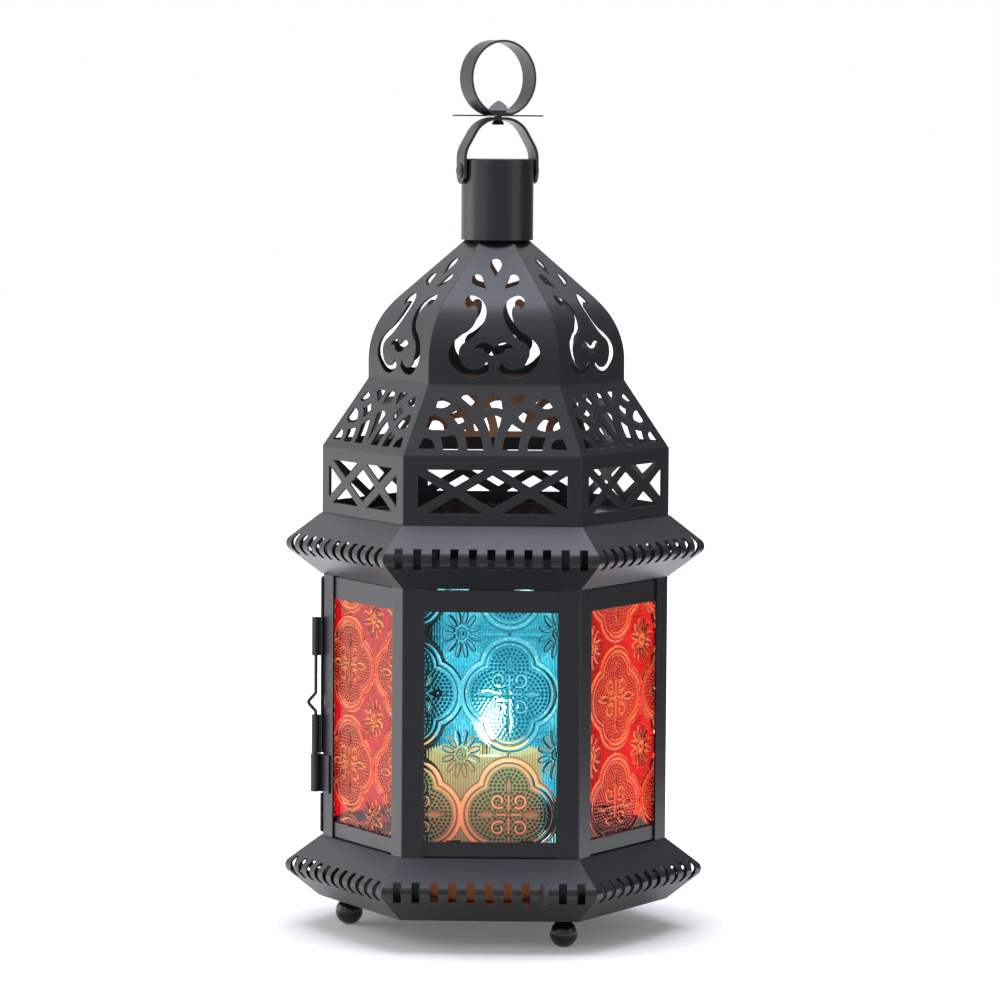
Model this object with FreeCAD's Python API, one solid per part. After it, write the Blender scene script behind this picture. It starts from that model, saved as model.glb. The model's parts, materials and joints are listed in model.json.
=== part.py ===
import FreeCAD, Part
import math
import os

# Candle lantern: a six-sided tin lantern with figured glass panes, a hinged door,
# a pierced domed roof and a hanging ring. Millimetres, +Z up, the floor centre is
# the origin, the front face looks along -Y.

# Sheet and seams
SIDES = 6
SHEET = 0.6
SEAM_GAP = 0.06

# Heights of the storeys
FOOT_HEIGHT = 10.0
SKIRT_HEIGHT = 21.5
BODY_HEIGHT = 91.7
LATTICE_HEIGHT = 23.5
FAN_HEIGHT = 23.6
DOME_EAVE_HEIGHT = 19.3

# Body frame
FACE_WIDTH = 60.3
POST_FLANGE = 7.5
STOP_FLANGE = 4.5
TOP_RAIL = 7.5
BOTTOM_RAIL = 5.0
RAIL_GAP = 0.4
RAIL_END = 3.0
FLOOR_SHEET = 0.8

# Skirts, the folded and slotted ledges above and below the body
SKIRT_REACH = 12.5
NOSE_RADIUS = 3.0
LIP_MARGIN = 0.45
LIP_FIT = 0.05
TOP_FLANGE = 6.0
BASE_FLANGE = 12.5
SLOT_COUNT = 11
SLOT_WIDTH = 2.7
SLOT_HEIGHT = 6.9

# Ball feet and their rivets
FOOT_DIAMETER = 9.6
FOOT_FLAT = 0.15
FOOT_NECK = 4.4
FOOT_INSET = 10.5
FOOT_RIVET = 2.0
FOOT_RIVET_HEAD = 4.6
FOOT_RIVET_GRIP = 5.0
RIVET_HEAD_RISE = 1.1
RIVET_FIT = 0.05

# Glass panes and the clips that hold them
GLASS = 2.0
PANE_LAP = 2.6
DOOR_PANE_LAP = 2.0
CLIP_SHEET = 0.5
CLIP_WIDTH = 5.0
CLIP_FINGER = 3.4
CLIP_SPREAD = 0.55
CLIP_FIT = 0.05

# Door
DOOR_GAP = 0.8
STOP_GAP = 0.3
HINGE_EDGE_GAP = 0.45
LATCH_EDGE_LAP = 0.75
KEEPER_NOTCH = 0.5
DOOR_CORNER = 1.2

# Hinges and the drop-bolt latch
BARREL_OFFSET = 1.8
KNUCKLE_RADIUS = 1.45
KEEPER_RADIUS = 1.75
LEAF = 0.6
LEAF_WIDTH = 5.5
LEAF_ROOT = 2.2
HINGE_LENGTH = 18.6
HINGE_KNUCKLE = 8.0
HINGE_SPREAD = 0.54
PIN_DIAMETER = 1.6
PIN_HEAD = 2.5
PIN_HEAD_RISE = 0.6
BOLT_DIAMETER = 1.2
RUNNING_FIT = 0.08
KNUCKLE_GAP = 0.3
KEEPER_LENGTH = 13.3
GUIDE_LENGTH = 13.4
KINK_LENGTH = 7.6
KINK_REACH = 2.9
KINK_BEND = 1.2
BOLT_LIFT = 13.0
BOLT_TIP = 0.5

# Roof
DOME_BASE_WIDTH = 44.5
DOME_TOP_WIDTH = 11.0
DOME_BEND = 30.0
DOME_PITCH = 45.0
FOLD_RADIUS = 1.6
LATTICE_SIDE = 4.9
LATTICE_SILL = 4.0
LATTICE_HEAD = 4.6
LATTICE_BAR = 3.1
LATTICE_CROSSES = 2

# Collar and its base washer
COLLAR_DIAMETER = 25.0
COLLAR_HEIGHT = 28.0
COLLAR_WALL = 0.8
COLLAR_EDGE = 0.6
COLLAR_BASE_BORE = 12.0
COLLAR_FIT = 0.05

# Bail, the arched strip that swings on the collar
HANDLE_TURN = 22.0
BAIL_STRIP = 7.5
BAIL_SHEET = 1.0
BAIL_GAP = 0.3
BAIL_PIVOT_DROP = 4.2
BAIL_RISE = 18.6
BAIL_NECK = 6.9
BAIL_CROWN_WIDTH = 14.0
BAIL_TAB = 4.5
BAIL_BEND = 10.0
BAIL_RIVET = 2.4
BAIL_RIVET_HEAD = 5.4
BAIL_RIVET_TAIL = 0.8

# Hanging ring, rosette and swivel rivet
RING_TURN = 33.0
RING_DIAMETER = 26.4
RING_STRIP = 7.7
RING_SHEET = 0.8
RING_FLAT = 0.5
SWIVEL_GAP = 0.25
SWIVEL_SHANK = 2.6
SWIVEL_HEAD = 5.6
SWIVEL_HEAD_RISE = 0.7
SWIVEL_TAIL_TOP = 3.4
SWIVEL_TAIL = 4.4
SWIVEL_TAIL_DROP = 1.4
ROSETTE_SHEET = 0.5
ROSETTE_SPAN = 31.4
ROSETTE_DISC = 9.0
PETAL_WIDTH = 7.4
PETAL_BELLY = 7.2
PETAL_FULLNESS = 0.8
PETAL_FOLD = 6.2
PETAL_LIFT = 33.0
PETAL_COUNT = 4

# Candle
CANDLE_DIAMETER = 40.0
CANDLE_HEIGHT = 50.5
CANDLE_SHIFT = -3.0
CANDLE_EDGE = 1.5
CANDLE_POOL = 26.0
CANDLE_POOL_DEPTH = 1.5
WICK_DIAMETER = 1.6
WICK_RISE = 8.0
WICK_DEPTH = 10.0
WICK_FIT = 0.1

# Levels and flats that follow from the sizes above
FACE_STEP = 360.0 / SIDES
HALF_STEP = FACE_STEP / 2.0
HALF_TURN = math.radians(HALF_STEP)
POST_FLAT = FACE_WIDTH * math.cos(HALF_TURN)
RAIL_FLAT = POST_FLAT - SHEET
PANE_FLAT = RAIL_FLAT - SHEET
STOP_FLAT = POST_FLAT - SHEET - STOP_GAP
LIP_FLAT = POST_FLAT + LIP_MARGIN
FOOT_CIRCLE = LIP_FLAT / math.cos(HALF_TURN) - FOOT_INSET
ROOF_FLAT = POST_FLAT
DOME_FLAT = DOME_BASE_WIDTH * math.cos(HALF_TURN)
DOME_TOP_FLAT = DOME_TOP_WIDTH * math.cos(HALF_TURN)
BARREL_FLAT = POST_FLAT + BARREL_OFFSET
BARREL_CIRCLE = BARREL_FLAT / math.cos(HALF_TURN)
LOWER_LIP = FOOT_HEIGHT + SKIRT_HEIGHT
UPPER_LIP = LOWER_LIP + BODY_HEIGHT
ROOF_BASE = UPPER_LIP + SKIRT_HEIGHT
FAN_BASE = ROOF_BASE + LATTICE_HEIGHT
DOME_BASE = FAN_BASE + FAN_HEIGHT
DOME_EAVE = DOME_BASE + DOME_EAVE_HEIGHT
DOME_TOP = DOME_EAVE + (DOME_FLAT - DOME_TOP_FLAT) / math.tan(math.radians(DOME_PITCH))
FLOOR_LOW = FOOT_HEIGHT + SHEET
FLOOR_TOP = FLOOR_LOW + FLOOR_SHEET
WINDOW_LOW = LOWER_LIP + RAIL_GAP + BOTTOM_RAIL
WINDOW_HIGH = UPPER_LIP - RAIL_GAP - TOP_RAIL
WINDOW_HALF = FACE_WIDTH / 2.0 - POST_FLANGE
DOOR_LOW = LOWER_LIP + DOOR_GAP
DOOR_HIGH = UPPER_LIP - DOOR_GAP
COLLAR_TOP = DOME_TOP + COLLAR_HEIGHT
BAIL_PIVOT = COLLAR_TOP - BAIL_PIVOT_DROP
BAIL_CROWN = BAIL_PIVOT + BAIL_RISE
BAIL_INSIDE = COLLAR_DIAMETER / 2.0 + BAIL_GAP
BAIL_OUTSIDE = BAIL_INSIDE + BAIL_SHEET
ROSETTE_LOW = BAIL_CROWN + SWIVEL_GAP
RING_LOW = ROSETTE_LOW + ROSETTE_SHEET
CANDLE_TOP = FLOOR_TOP + CANDLE_HEIGHT

# Directions of the faces and corners, degrees round +Z
FACES = {"front": 270, "front_right": 330, "back_right": 30, "back": 90, "front_left": 210}
DOOR_FACE = 150
HINGE_CORNER = DOOR_FACE - HALF_STEP
LATCH_CORNER = DOOR_FACE + HALF_STEP
CORNERS = {"right": 0, "back_right": 60, "front_left": 240, "front_right": 300}
FEET = {"left": 180, "front_right": 300, "back_right": 60}

UP = FreeCAD.Vector(0, 0, 1)
REACH = 2.0 * FACE_WIDTH


# Helpers for flat outlines, bent sheets and turned copies
def on_wall(across, up):
    """Point of an outline drawn on a face that looks along +X."""
    return FreeCAD.Vector(0, across, up)


def on_section(out, up):
    """Point of an outline drawn on the upright section through a face."""
    return FreeCAD.Vector(out, 0, up)


def on_plan(x, y):
    """Point of an outline drawn on the plan."""
    return FreeCAD.Vector(x, y, 0)


def flat_face(start, steps, place):
    """Face inside an outline: a step of one point is a line, of two points an arc."""
    edges = []
    here = place(*start)
    for step in steps + [[start]]:
        there = place(*step[-1])
        if here.distanceToPoint(there) < 1e-6:
            continue
        if len(step) == 2:
            edges.append(Part.Arc(here, place(*step[0]), there).toShape())
        else:
            edges.append(Part.makeLine(here, there))
        here = there
    return Part.Face(Part.Wire(edges))


def offset_points(points, distance):
    """Corners of an open line of straight runs, moved to the left by a distance."""
    runs = []
    for (x0, y0), (x1, y1) in zip(points, points[1:]):
        length = math.hypot(x1 - x0, y1 - y0)
        ax = (x1 - x0) / length
        ay = (y1 - y0) / length
        runs.append((x0 - ay * distance, y0 + ax * distance, ax, ay, length))
    moved = [(runs[0][0], runs[0][1])]
    for (px, py, ax, ay, _), (qx, qy, bx, by, _) in zip(runs, runs[1:]):
        along = ((qx - px) * by - (qy - py) * bx) / (ax * by - ay * bx)
        moved.append((px + ax * along, py + ay * along))
    x, y, ax, ay, length = runs[-1]
    moved.append((x + ax * length, y + ay * length))
    return moved


def rounded_steps(points, radii):
    """Steps of an outline along straight runs whose corners are rounded."""
    steps = []
    for before, corner, after, radius in zip(points, points[1:], points[2:], radii):
        back = math.atan2(before[1] - corner[1], before[0] - corner[0])
        ahead = math.atan2(after[1] - corner[1], after[0] - corner[0])
        half = abs((back - ahead + math.pi) % (2.0 * math.pi) - math.pi) / 2.0
        if radius < 1e-6:
            steps.append([corner])
            continue
        run = radius / math.tan(half)
        middle = math.atan2(math.sin(back) + math.sin(ahead), math.cos(back) + math.cos(ahead))
        near = radius / math.sin(half) - radius
        first = (corner[0] + run * math.cos(back), corner[1] + run * math.sin(back))
        through = (corner[0] + near * math.cos(middle), corner[1] + near * math.sin(middle))
        last = (corner[0] + run * math.cos(ahead), corner[1] + run * math.sin(ahead))
        steps.append([first])
        steps.append([through, last])
    return steps + [[points[-1]]]


def reversed_steps(start, steps):
    """The same outline walked the other way, without its last point."""
    stops = [start] + [step[-1] for step in steps]
    return [step[:-1] + [stop] for step, stop in zip(steps[::-1], stops[-2::-1])]


def bent_sheet(points, radii, thickness, place):
    """Section of a sheet bent along the points, its thickness on the left of the line."""
    inner = offset_points(points, thickness)
    inner_radii = []
    for before, corner, after, radius in zip(points, points[1:], points[2:], radii):
        turn = (corner[0] - before[0]) * (after[1] - corner[1])
        turn -= (corner[1] - before[1]) * (after[0] - corner[0])
        tighter = radius - thickness if turn > 0 else radius + thickness
        inner_radii.append(max(tighter, 0.0) if radius > 0 else 0.0)
    outer_steps = rounded_steps(points, radii)
    inner_steps = rounded_steps(inner, inner_radii)
    back = [[inner[-1]]] + reversed_steps(inner[0], inner_steps)
    return flat_face(points[0], outer_steps + back, place)


def extruded(face, direction, length):
    """Solid of a face pushed both ways along a direction, length in all."""
    lower = face.copy()
    lower.translate(direction * (-length / 2.0))
    return lower.extrude(direction * length)


def box_between(low, high):
    """Box from its lowest to its highest corner."""
    size = [b - a for a, b in zip(low, high)]
    return Part.makeBox(size[0], size[1], size[2], FreeCAD.Vector(*low))


def upright(radius, low, high, x=0.0, y=0.0):
    """Upright cylinder between two levels."""
    return Part.makeCylinder(radius, high - low, FreeCAD.Vector(x, y, low))


def turned(shape, degrees):
    """Copy of a shape turned about the lantern's axis."""
    copy = shape.copy()
    copy.rotate(FreeCAD.Vector(0, 0, 0), UP, degrees)
    return copy


def corner_point(radius, degrees):
    """Point on a circle round the axis, as two numbers."""
    angle = math.radians(degrees)
    return radius * math.cos(angle), radius * math.sin(angle)


def hexagon(flat, low, high):
    """Six-sided prism with its first corner at 0 degrees."""
    radius = flat / math.cos(HALF_TURN)
    points = [corner_point(radius, FACE_STEP * n) for n in range(SIDES)]
    face = flat_face(points[0], [[point] for point in points[1:]], on_plan)
    face.translate(UP * low)
    return face.extrude(UP * (high - low))


def face_wedge(low, high, setback):
    """Prism of one sixth of the plan, pulled out along the face by a setback."""
    side = REACH * math.tan(HALF_TURN)
    face = flat_face((setback, 0), [[(setback + REACH, -side)], [(setback + REACH, side)]], on_plan)
    face.translate(UP * low)
    return face.extrude(UP * (high - low))


def joined(shapes):
    """One solid out of overlapping or touching shapes."""
    result = shapes[0]
    for shape in shapes[1:]:
        result = result.fuse(shape)
    return result


def without(shape, cutters):
    """A shape less its cutters, in one cut."""
    return shape.cut(cutters) if cutters else shape


def dome_cap(diameter, rise):
    """Rivet head: a shallow dome on the plan, its flat underside at zero."""
    half = diameter / 2.0
    ball = (half * half + rise * rise) / (2.0 * rise)
    sphere = Part.makeSphere(ball, FreeCAD.Vector(0, 0, rise - ball))
    return sphere.common(upright(half, 0.0, rise))


def save(name, shapes):
    """Write one node, a single solid or a group of them."""
    solids = [solid for shape in shapes for solid in shape.Solids]
    shape = solids[0] if len(solids) == 1 else Part.makeCompound(solids)
    shape.exportStep("parts/" + name + ".step")


# Feet, floor and skirts
def foot_places():
    """Centres of the three feet on the plan."""
    return [corner_point(FOOT_CIRCLE, angle) for angle in FEET.values()]


def foot(x, y):
    """Ball foot with a flat to stand on, a short neck and a bore for its rivet."""
    centre = FOOT_DIAMETER / 2.0 - FOOT_FLAT
    ball = Part.makeSphere(FOOT_DIAMETER / 2.0, FreeCAD.Vector(x, y, centre))
    ball = ball.common(upright(FOOT_DIAMETER, 0.0, FOOT_HEIGHT, x, y))
    neck = upright(FOOT_NECK / 2.0, centre, FOOT_HEIGHT, x, y)
    bore = upright(FOOT_RIVET / 2.0 + RIVET_FIT, FOOT_HEIGHT - FOOT_RIVET_GRIP, FOOT_HEIGHT, x, y)
    return ball.fuse(neck).cut(bore)


def foot_rivet(x, y):
    """Rivet that clamps floor, skirt flange and foot together."""
    shank = upright(FOOT_RIVET / 2.0, FOOT_HEIGHT - FOOT_RIVET_GRIP, FLOOR_TOP, x, y)
    head = dome_cap(FOOT_RIVET_HEAD, RIVET_HEAD_RISE)
    head.translate(FreeCAD.Vector(x, y, FLOOR_TOP))
    return shank.fuse(head)


def rivet_holes(low, high):
    """Cutters for the foot rivets through a sheet."""
    radius = FOOT_RIVET / 2.0 + RIVET_FIT
    return [upright(radius, low, high, x, y) for x, y in foot_places()]


def skirt_ring(section, lip):
    """Six mitred and slotted sides of a skirt, joined into one ring."""
    low = min(vertex.Z for vertex in section.Vertexes)
    high = max(vertex.Z for vertex in section.Vertexes)
    side = extruded(section, FreeCAD.Vector(0, 1, 0), REACH)
    side = side.common(face_wedge(low - SHEET, high + SHEET, 0.0))
    trim = POST_FLAT + LIP_FIT
    edge = 2.0 * SHEET
    side = side.cut(box_between((trim - edge, -REACH, lip - edge), (trim, REACH, lip + edge)))
    nose = POST_FLAT + SKIRT_REACH
    pitch = 2.0 * nose * math.tan(HALF_TURN) / (SLOT_COUNT + 1)
    middle = (low + high) / 2.0
    slots = []
    for n in range(SLOT_COUNT):
        across = (n - (SLOT_COUNT - 1) / 2.0) * pitch
        slots.append(box_between(
            (trim, across - SLOT_WIDTH / 2.0, middle - SLOT_HEIGHT / 2.0),
            (nose, across + SLOT_WIDTH / 2.0, middle + SLOT_HEIGHT / 2.0),
        ))
    side = without(side, slots)
    return joined([turned(side, HALF_STEP + FACE_STEP * n) for n in range(SIDES)])


def lower_skirt():
    """Skirt below the body, its bottom flange turned in under the floor."""
    points = [
        (LIP_FLAT - BASE_FLANGE, FOOT_HEIGHT),
        (LIP_FLAT, FOOT_HEIGHT),
        (POST_FLAT + SKIRT_REACH, FOOT_HEIGHT + SKIRT_HEIGHT / 2.0),
        (POST_FLAT, LOWER_LIP),
    ]
    section = bent_sheet(points, [0.0, NOSE_RADIUS], SHEET, on_section)
    ring = skirt_ring(section, LOWER_LIP)
    return without(ring, rivet_holes(FOOT_HEIGHT - SHEET, FLOOR_LOW + SHEET))


def upper_skirt():
    """Skirt above the body, its top flange turned in under the roof."""
    points = [
        (POST_FLAT, UPPER_LIP),
        (POST_FLAT + SKIRT_REACH, UPPER_LIP + SKIRT_HEIGHT / 2.0),
        (LIP_FLAT, ROOF_BASE),
        (LIP_FLAT - TOP_FLANGE, ROOF_BASE),
    ]
    section = bent_sheet(points, [NOSE_RADIUS, 0.0], SHEET, on_section)
    return skirt_ring(section, UPPER_LIP)


def floor_plate():
    """Floor that the candle and the posts stand on."""
    plate = hexagon(POST_FLAT, FLOOR_LOW, FLOOR_TOP)
    return without(plate, rivet_holes(FLOOR_LOW - SHEET, FLOOR_TOP + SHEET))


# Body frame and glass
def post(before_flat, before_flange, after_flat, after_flange):
    """Bent corner strip at 0 degrees, with its own flat and flange on each face."""
    sine = math.sin(HALF_TURN)
    cosine = math.cos(HALF_TURN)
    x = (before_flat + after_flat) / (2.0 * cosine)
    y = (after_flat - before_flat) / (2.0 * sine)
    before = (x - before_flange * sine, y - before_flange * cosine)
    after = (x - after_flange * sine, y + after_flange * cosine)
    section = bent_sheet([before, (x, y), after], [SHEET], SHEET, on_plan)
    section.translate(UP * FLOOR_TOP)
    return section.extrude(UP * (ROOF_BASE - SHEET - FLOOR_TOP))


def rail(low, high):
    """Strip bent round the five glazed faces behind the posts."""
    ring = hexagon(RAIL_FLAT, low, high).cut(hexagon(PANE_FLAT, low, high))
    gap = turned(face_wedge(low, high, -RAIL_END / math.sin(HALF_TURN)), DOOR_FACE)
    return ring.cut(gap)


def pane(flat, lap):
    """Glass plate that laps behind its window all round."""
    half = WINDOW_HALF + lap
    return box_between((flat - GLASS, -half, WINDOW_LOW - lap), (flat, half, WINDOW_HIGH + lap))


def clips(flat, lap):
    """Four tabs at a pane's head and foot, bent over its inner face."""
    back = flat - GLASS - CLIP_SHEET
    head = WINDOW_HIGH + lap + CLIP_FIT + CLIP_SHEET
    foot_edge = WINDOW_LOW - lap - CLIP_FIT - CLIP_SHEET
    upper = [(flat, head), (back, head), (back, head - CLIP_FINGER)]
    lower = [(back, foot_edge + CLIP_FINGER), (back, foot_edge), (flat, foot_edge)]
    tabs = []
    for points in (upper, lower):
        tab = bent_sheet(points, [CLIP_SHEET], CLIP_SHEET, on_section)
        tab = extruded(tab, FreeCAD.Vector(0, 1, 0), CLIP_WIDTH)
        for side in (-1, 1):
            copy = tab.copy()
            copy.translate(FreeCAD.Vector(0, side * CLIP_SPREAD * WINDOW_HALF, 0))
            tabs.append(copy)
    return tabs


# Door, hinges and latch
def door_frame():
    """Flat door frame with its window and a notch that clears the latch keeper."""
    low = -FACE_WIDTH / 2.0 + HINGE_EDGE_GAP
    high = FACE_WIDTH / 2.0 + LATCH_EDGE_LAP
    plate = box_between((POST_FLAT - SHEET, low, DOOR_LOW), (POST_FLAT, high, DOOR_HIGH))
    corners = [
        edge
        for edge in plate.Edges
        if abs(edge.Vertexes[0].X - edge.Vertexes[1].X) > SHEET / 2.0
    ]
    plate = plate.makeFillet(DOOR_CORNER, corners)
    behind = POST_FLAT - 2.0 * SHEET
    before = POST_FLAT + SHEET
    window = box_between((behind, -WINDOW_HALF, WINDOW_LOW), (before, WINDOW_HALF, WINDOW_HIGH))
    keeper = latch_levels()[0]
    keeper_side = BARREL_CIRCLE * math.sin(HALF_TURN) - KEEPER_RADIUS
    notch = box_between(
        (behind, keeper_side - KEEPER_NOTCH, keeper - KEEPER_NOTCH),
        (before, high + SHEET, keeper + KEEPER_LENGTH + KEEPER_NOTCH),
    )
    return turned(without(plate, [window, notch]), DOOR_FACE)


def barrel_leaf(face, side, leaf, knuckles, radius, bore):
    """Leaf on a face with rolled knuckles at its corner: side 1 grows along +Y."""
    axis = -side * BARREL_CIRCLE * math.sin(HALF_TURN)
    low, high = leaf

    def strip(near, far, bottom, top):
        edges = sorted((axis + side * near, axis + side * far))
        return box_between((POST_FLAT, edges[0], bottom), (POST_FLAT + LEAF, edges[1], top))

    pieces = [strip(LEAF_ROOT, LEAF_ROOT + LEAF_WIDTH, low, high)]
    for bottom, top in knuckles:
        pieces.append(strip(0.0, LEAF_ROOT, bottom, top))
        pieces.append(upright(radius, bottom, top, BARREL_FLAT, axis))
    hole = upright(bore, low - radius, high + radius, BARREL_FLAT, axis)
    return turned(joined(pieces).cut(hole), face)


def hinge_middles():
    """Middle levels of the two hinges."""
    middle = (DOOR_LOW + DOOR_HIGH) / 2.0
    reach = (DOOR_HIGH - DOOR_LOW) / 2.0 * HINGE_SPREAD
    return [middle - reach, middle + reach]


def hinges():
    """Frame leaves, door leaves and pins of both hinges."""
    bore = PIN_DIAMETER / 2.0 + RUNNING_FIT
    half = HINGE_LENGTH / 2.0
    inner = HINGE_KNUCKLE / 2.0
    x, y = corner_point(BARREL_CIRCLE, HINGE_CORNER)
    frame, door, pins = [], [], []
    for level in hinge_middles():
        leaf = (level - half, level + half)
        ends = [(leaf[0], level - inner - KNUCKLE_GAP), (level + inner + KNUCKLE_GAP, leaf[1])]
        middle = [(level - inner, level + inner)]
        frame.append(barrel_leaf(HINGE_CORNER - HALF_STEP, -1, leaf, ends, KNUCKLE_RADIUS, bore))
        door.append(barrel_leaf(DOOR_FACE, 1, leaf, middle, KNUCKLE_RADIUS, bore))
        shank = upright(PIN_DIAMETER / 2.0, leaf[0], leaf[1], x, y)
        lower = upright(PIN_HEAD / 2.0, leaf[0] - PIN_HEAD_RISE, leaf[0], x, y)
        upper = upright(PIN_HEAD / 2.0, leaf[1], leaf[1] + PIN_HEAD_RISE, x, y)
        pins.append(joined([shank, lower, upper]))
    return frame, door, pins


def latch_levels():
    """Bottom levels of keeper, lower guide, kink and upper guide, centred on the door."""
    stack = KEEPER_LENGTH + KNUCKLE_GAP + 2.0 * GUIDE_LENGTH + KINK_LENGTH + BOLT_LIFT + KNUCKLE_GAP
    keeper = (DOOR_LOW + DOOR_HIGH - stack) / 2.0
    lower = keeper + KEEPER_LENGTH + KNUCKLE_GAP
    kink = lower + GUIDE_LENGTH
    upper = kink + KINK_LENGTH + BOLT_LIFT + KNUCKLE_GAP
    return keeper, lower, kink, upper


def latch_keeper():
    """Rolled keeper on the latch post, which the bolt drops into."""
    low = latch_levels()[0]
    span = (low, low + KEEPER_LENGTH)
    bore = BOLT_DIAMETER / 2.0 + RUNNING_FIT
    return barrel_leaf(LATCH_CORNER + HALF_STEP, 1, span, [span], KEEPER_RADIUS, bore)


def latch_guide(low):
    """Rolled guide on the door, which the bolt slides in."""
    span = (low, low + GUIDE_LENGTH)
    bore = BOLT_DIAMETER / 2.0 + RUNNING_FIT
    return barrel_leaf(DOOR_FACE, -1, span, [span], KNUCKLE_RADIUS, bore)


def latch_bolt():
    """Wire bolt with a kink for the finger, which rests on the lower guide."""
    keeper, _, kink, upper = latch_levels()
    start = kink + KINK_BEND
    corners = [
        (0.0, keeper + BOLT_TIP),
        (0.0, start),
        (KINK_REACH, start + (KINK_LENGTH - KINK_BEND) / 2.0),
        (0.0, kink + KINK_LENGTH),
        (0.0, upper + GUIDE_LENGTH - BOLT_TIP),
    ]
    edges = []
    here = on_section(*corners[0])
    for step in rounded_steps(corners, [KINK_BEND] * 3):
        there = on_section(*step[-1])
        if len(step) == 2:
            edges.append(Part.Arc(here, on_section(*step[0]), there).toShape())
        else:
            edges.append(Part.makeLine(here, there))
        here = there
    path = Part.Wire(edges)
    ring = Part.Wire([Part.makeCircle(BOLT_DIAMETER / 2.0, on_section(*corners[0]), UP)])
    bolt = path.makePipeShell([ring], True, False)
    bolt.translate(FreeCAD.Vector(BARREL_CIRCLE, 0, 0))
    return turned(bolt, LATCH_CORNER)


# Roof panels and their cut-outs, each outline as shares of the panel
FAN_CENTRE = [
    (
        (-0.12, 0.52),
        [[(0.0, 0.57), (0.12, 0.52)], [(0.04, 0.31), (0.0, 0.09)], [(-0.04, 0.31), (-0.12, 0.52)]],
    ),
    ((-0.10, 0.82), [[(0.0, 0.85), (0.10, 0.82)], [(0.12, 0.66)], [(0.0, 0.68), (-0.12, 0.66)]]),
]
FAN_SIDE = [
    ((-0.86, 0.10), [[(-0.84, 0.24)], [(-0.72, 0.21), (-0.67, 0.10)]]),
    (
        (-0.64, 0.26),
        [[(-0.47, 0.30)], [(-0.42, 0.20), (-0.40, 0.09)], [(-0.57, 0.09)], [(-0.59, 0.17), (-0.64, 0.26)]],
    ),
    (
        (-0.37, 0.35),
        [[(-0.24, 0.45)], [(-0.15, 0.28), (-0.11, 0.09)], [(-0.29, 0.09)], [(-0.32, 0.22), (-0.37, 0.35)]],
    ),
    (
        (-0.84, 0.40),
        [[(-0.84, 0.55)], [(-0.78, 0.56)], [(-0.64, 0.50), (-0.55, 0.39)], [(-0.69, 0.35), (-0.84, 0.40)]],
    ),
    (
        (-0.60, 0.58),
        [
            [(-0.53, 0.61), (-0.47, 0.68)],
            [(-0.33, 0.55)],
            [(-0.38, 0.48), (-0.45, 0.45)],
            [(-0.51, 0.52), (-0.60, 0.58)],
        ],
    ),
    ((-0.81, 0.69), [[(-0.75, 0.82)], [(-0.59, 0.75)], [(-0.69, 0.67), (-0.81, 0.69)]]),
    ((-0.46, 0.85), [[(-0.24, 0.85)], [(-0.24, 0.76), (-0.27, 0.67)], [(-0.46, 0.81)]]),
]
SCROLL = (
    (-0.40, 0.53),
    [
        [(-0.455, 0.57), (-0.36, 0.62)],
        [(-0.19, 0.58), (-0.13, 0.49)],
        [(-0.25, 0.37), (-0.47, 0.29)],
        [(-0.54, 0.24), (-0.51, 0.175)],
        [(-0.35, 0.105), (-0.115, 0.16)],
        [(-0.06, 0.11)],
        [(-0.33, 0.05), (-0.59, 0.11)],
        [(-0.70, 0.21), (-0.62, 0.30)],
        [(-0.49, 0.35)],
        [(-0.30, 0.43), (-0.26, 0.515)],
        [(-0.32, 0.55), (-0.40, 0.53)],
    ],
)
BAT = (
    (-0.31, 0.235),
    [
        [(-0.21, 0.29), (-0.08, 0.285)],
        [(0.0, 0.26)],
        [(0.08, 0.285)],
        [(0.21, 0.29), (0.31, 0.235)],
        [(0.22, 0.255), (0.14, 0.225)],
        [(0.0, 0.205), (-0.14, 0.225)],
        [(-0.22, 0.255), (-0.31, 0.235)],
    ],
)
TEARS = [
    ((0.0, 0.83), 0.09, (0.0, 0.75)),
    ((-0.28, 0.725), 0.085, (-0.145, 0.665)),
    ((0.28, 0.725), 0.085, (0.145, 0.665)),
]


def mirrored(outline):
    """Outline with left and right exchanged."""
    start, steps = outline
    flipped = [[(-across, up) for across, up in step] for step in steps]
    return (-start[0], start[1]), flipped


def on_fan(across, up):
    """Place on the sloping fan band: shares of its half width and its height."""
    flat = ROOF_FLAT + (DOME_FLAT - ROOF_FLAT) * up
    return on_wall(across * flat * math.tan(HALF_TURN), FAN_BASE + up * FAN_HEIGHT)


def on_dome(across, up):
    """Place on the dome: shares of its half width at the foot and its height."""
    return on_wall(across * DOME_BASE_WIDTH / 2.0, DOME_BASE + up * (DOME_TOP - DOME_BASE))


def tear_face(centre, size, tip):
    """Drop-shaped opening: a round end and a point."""
    middle = on_dome(*centre)
    point = on_dome(*tip)
    radius = size * DOME_BASE_WIDTH / 2.0
    axis = math.atan2(point.z - middle.z, point.y - middle.y)
    open_half = math.acos(min(radius / middle.distanceToPoint(point), 1.0))

    def rim(angle):
        return middle.y + radius * math.cos(angle), middle.z + radius * math.sin(angle)

    steps = [[rim(axis + open_half)], [rim(axis + math.pi), rim(axis - open_half)]]
    return flat_face((point.y, point.z), steps, on_wall)


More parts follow.
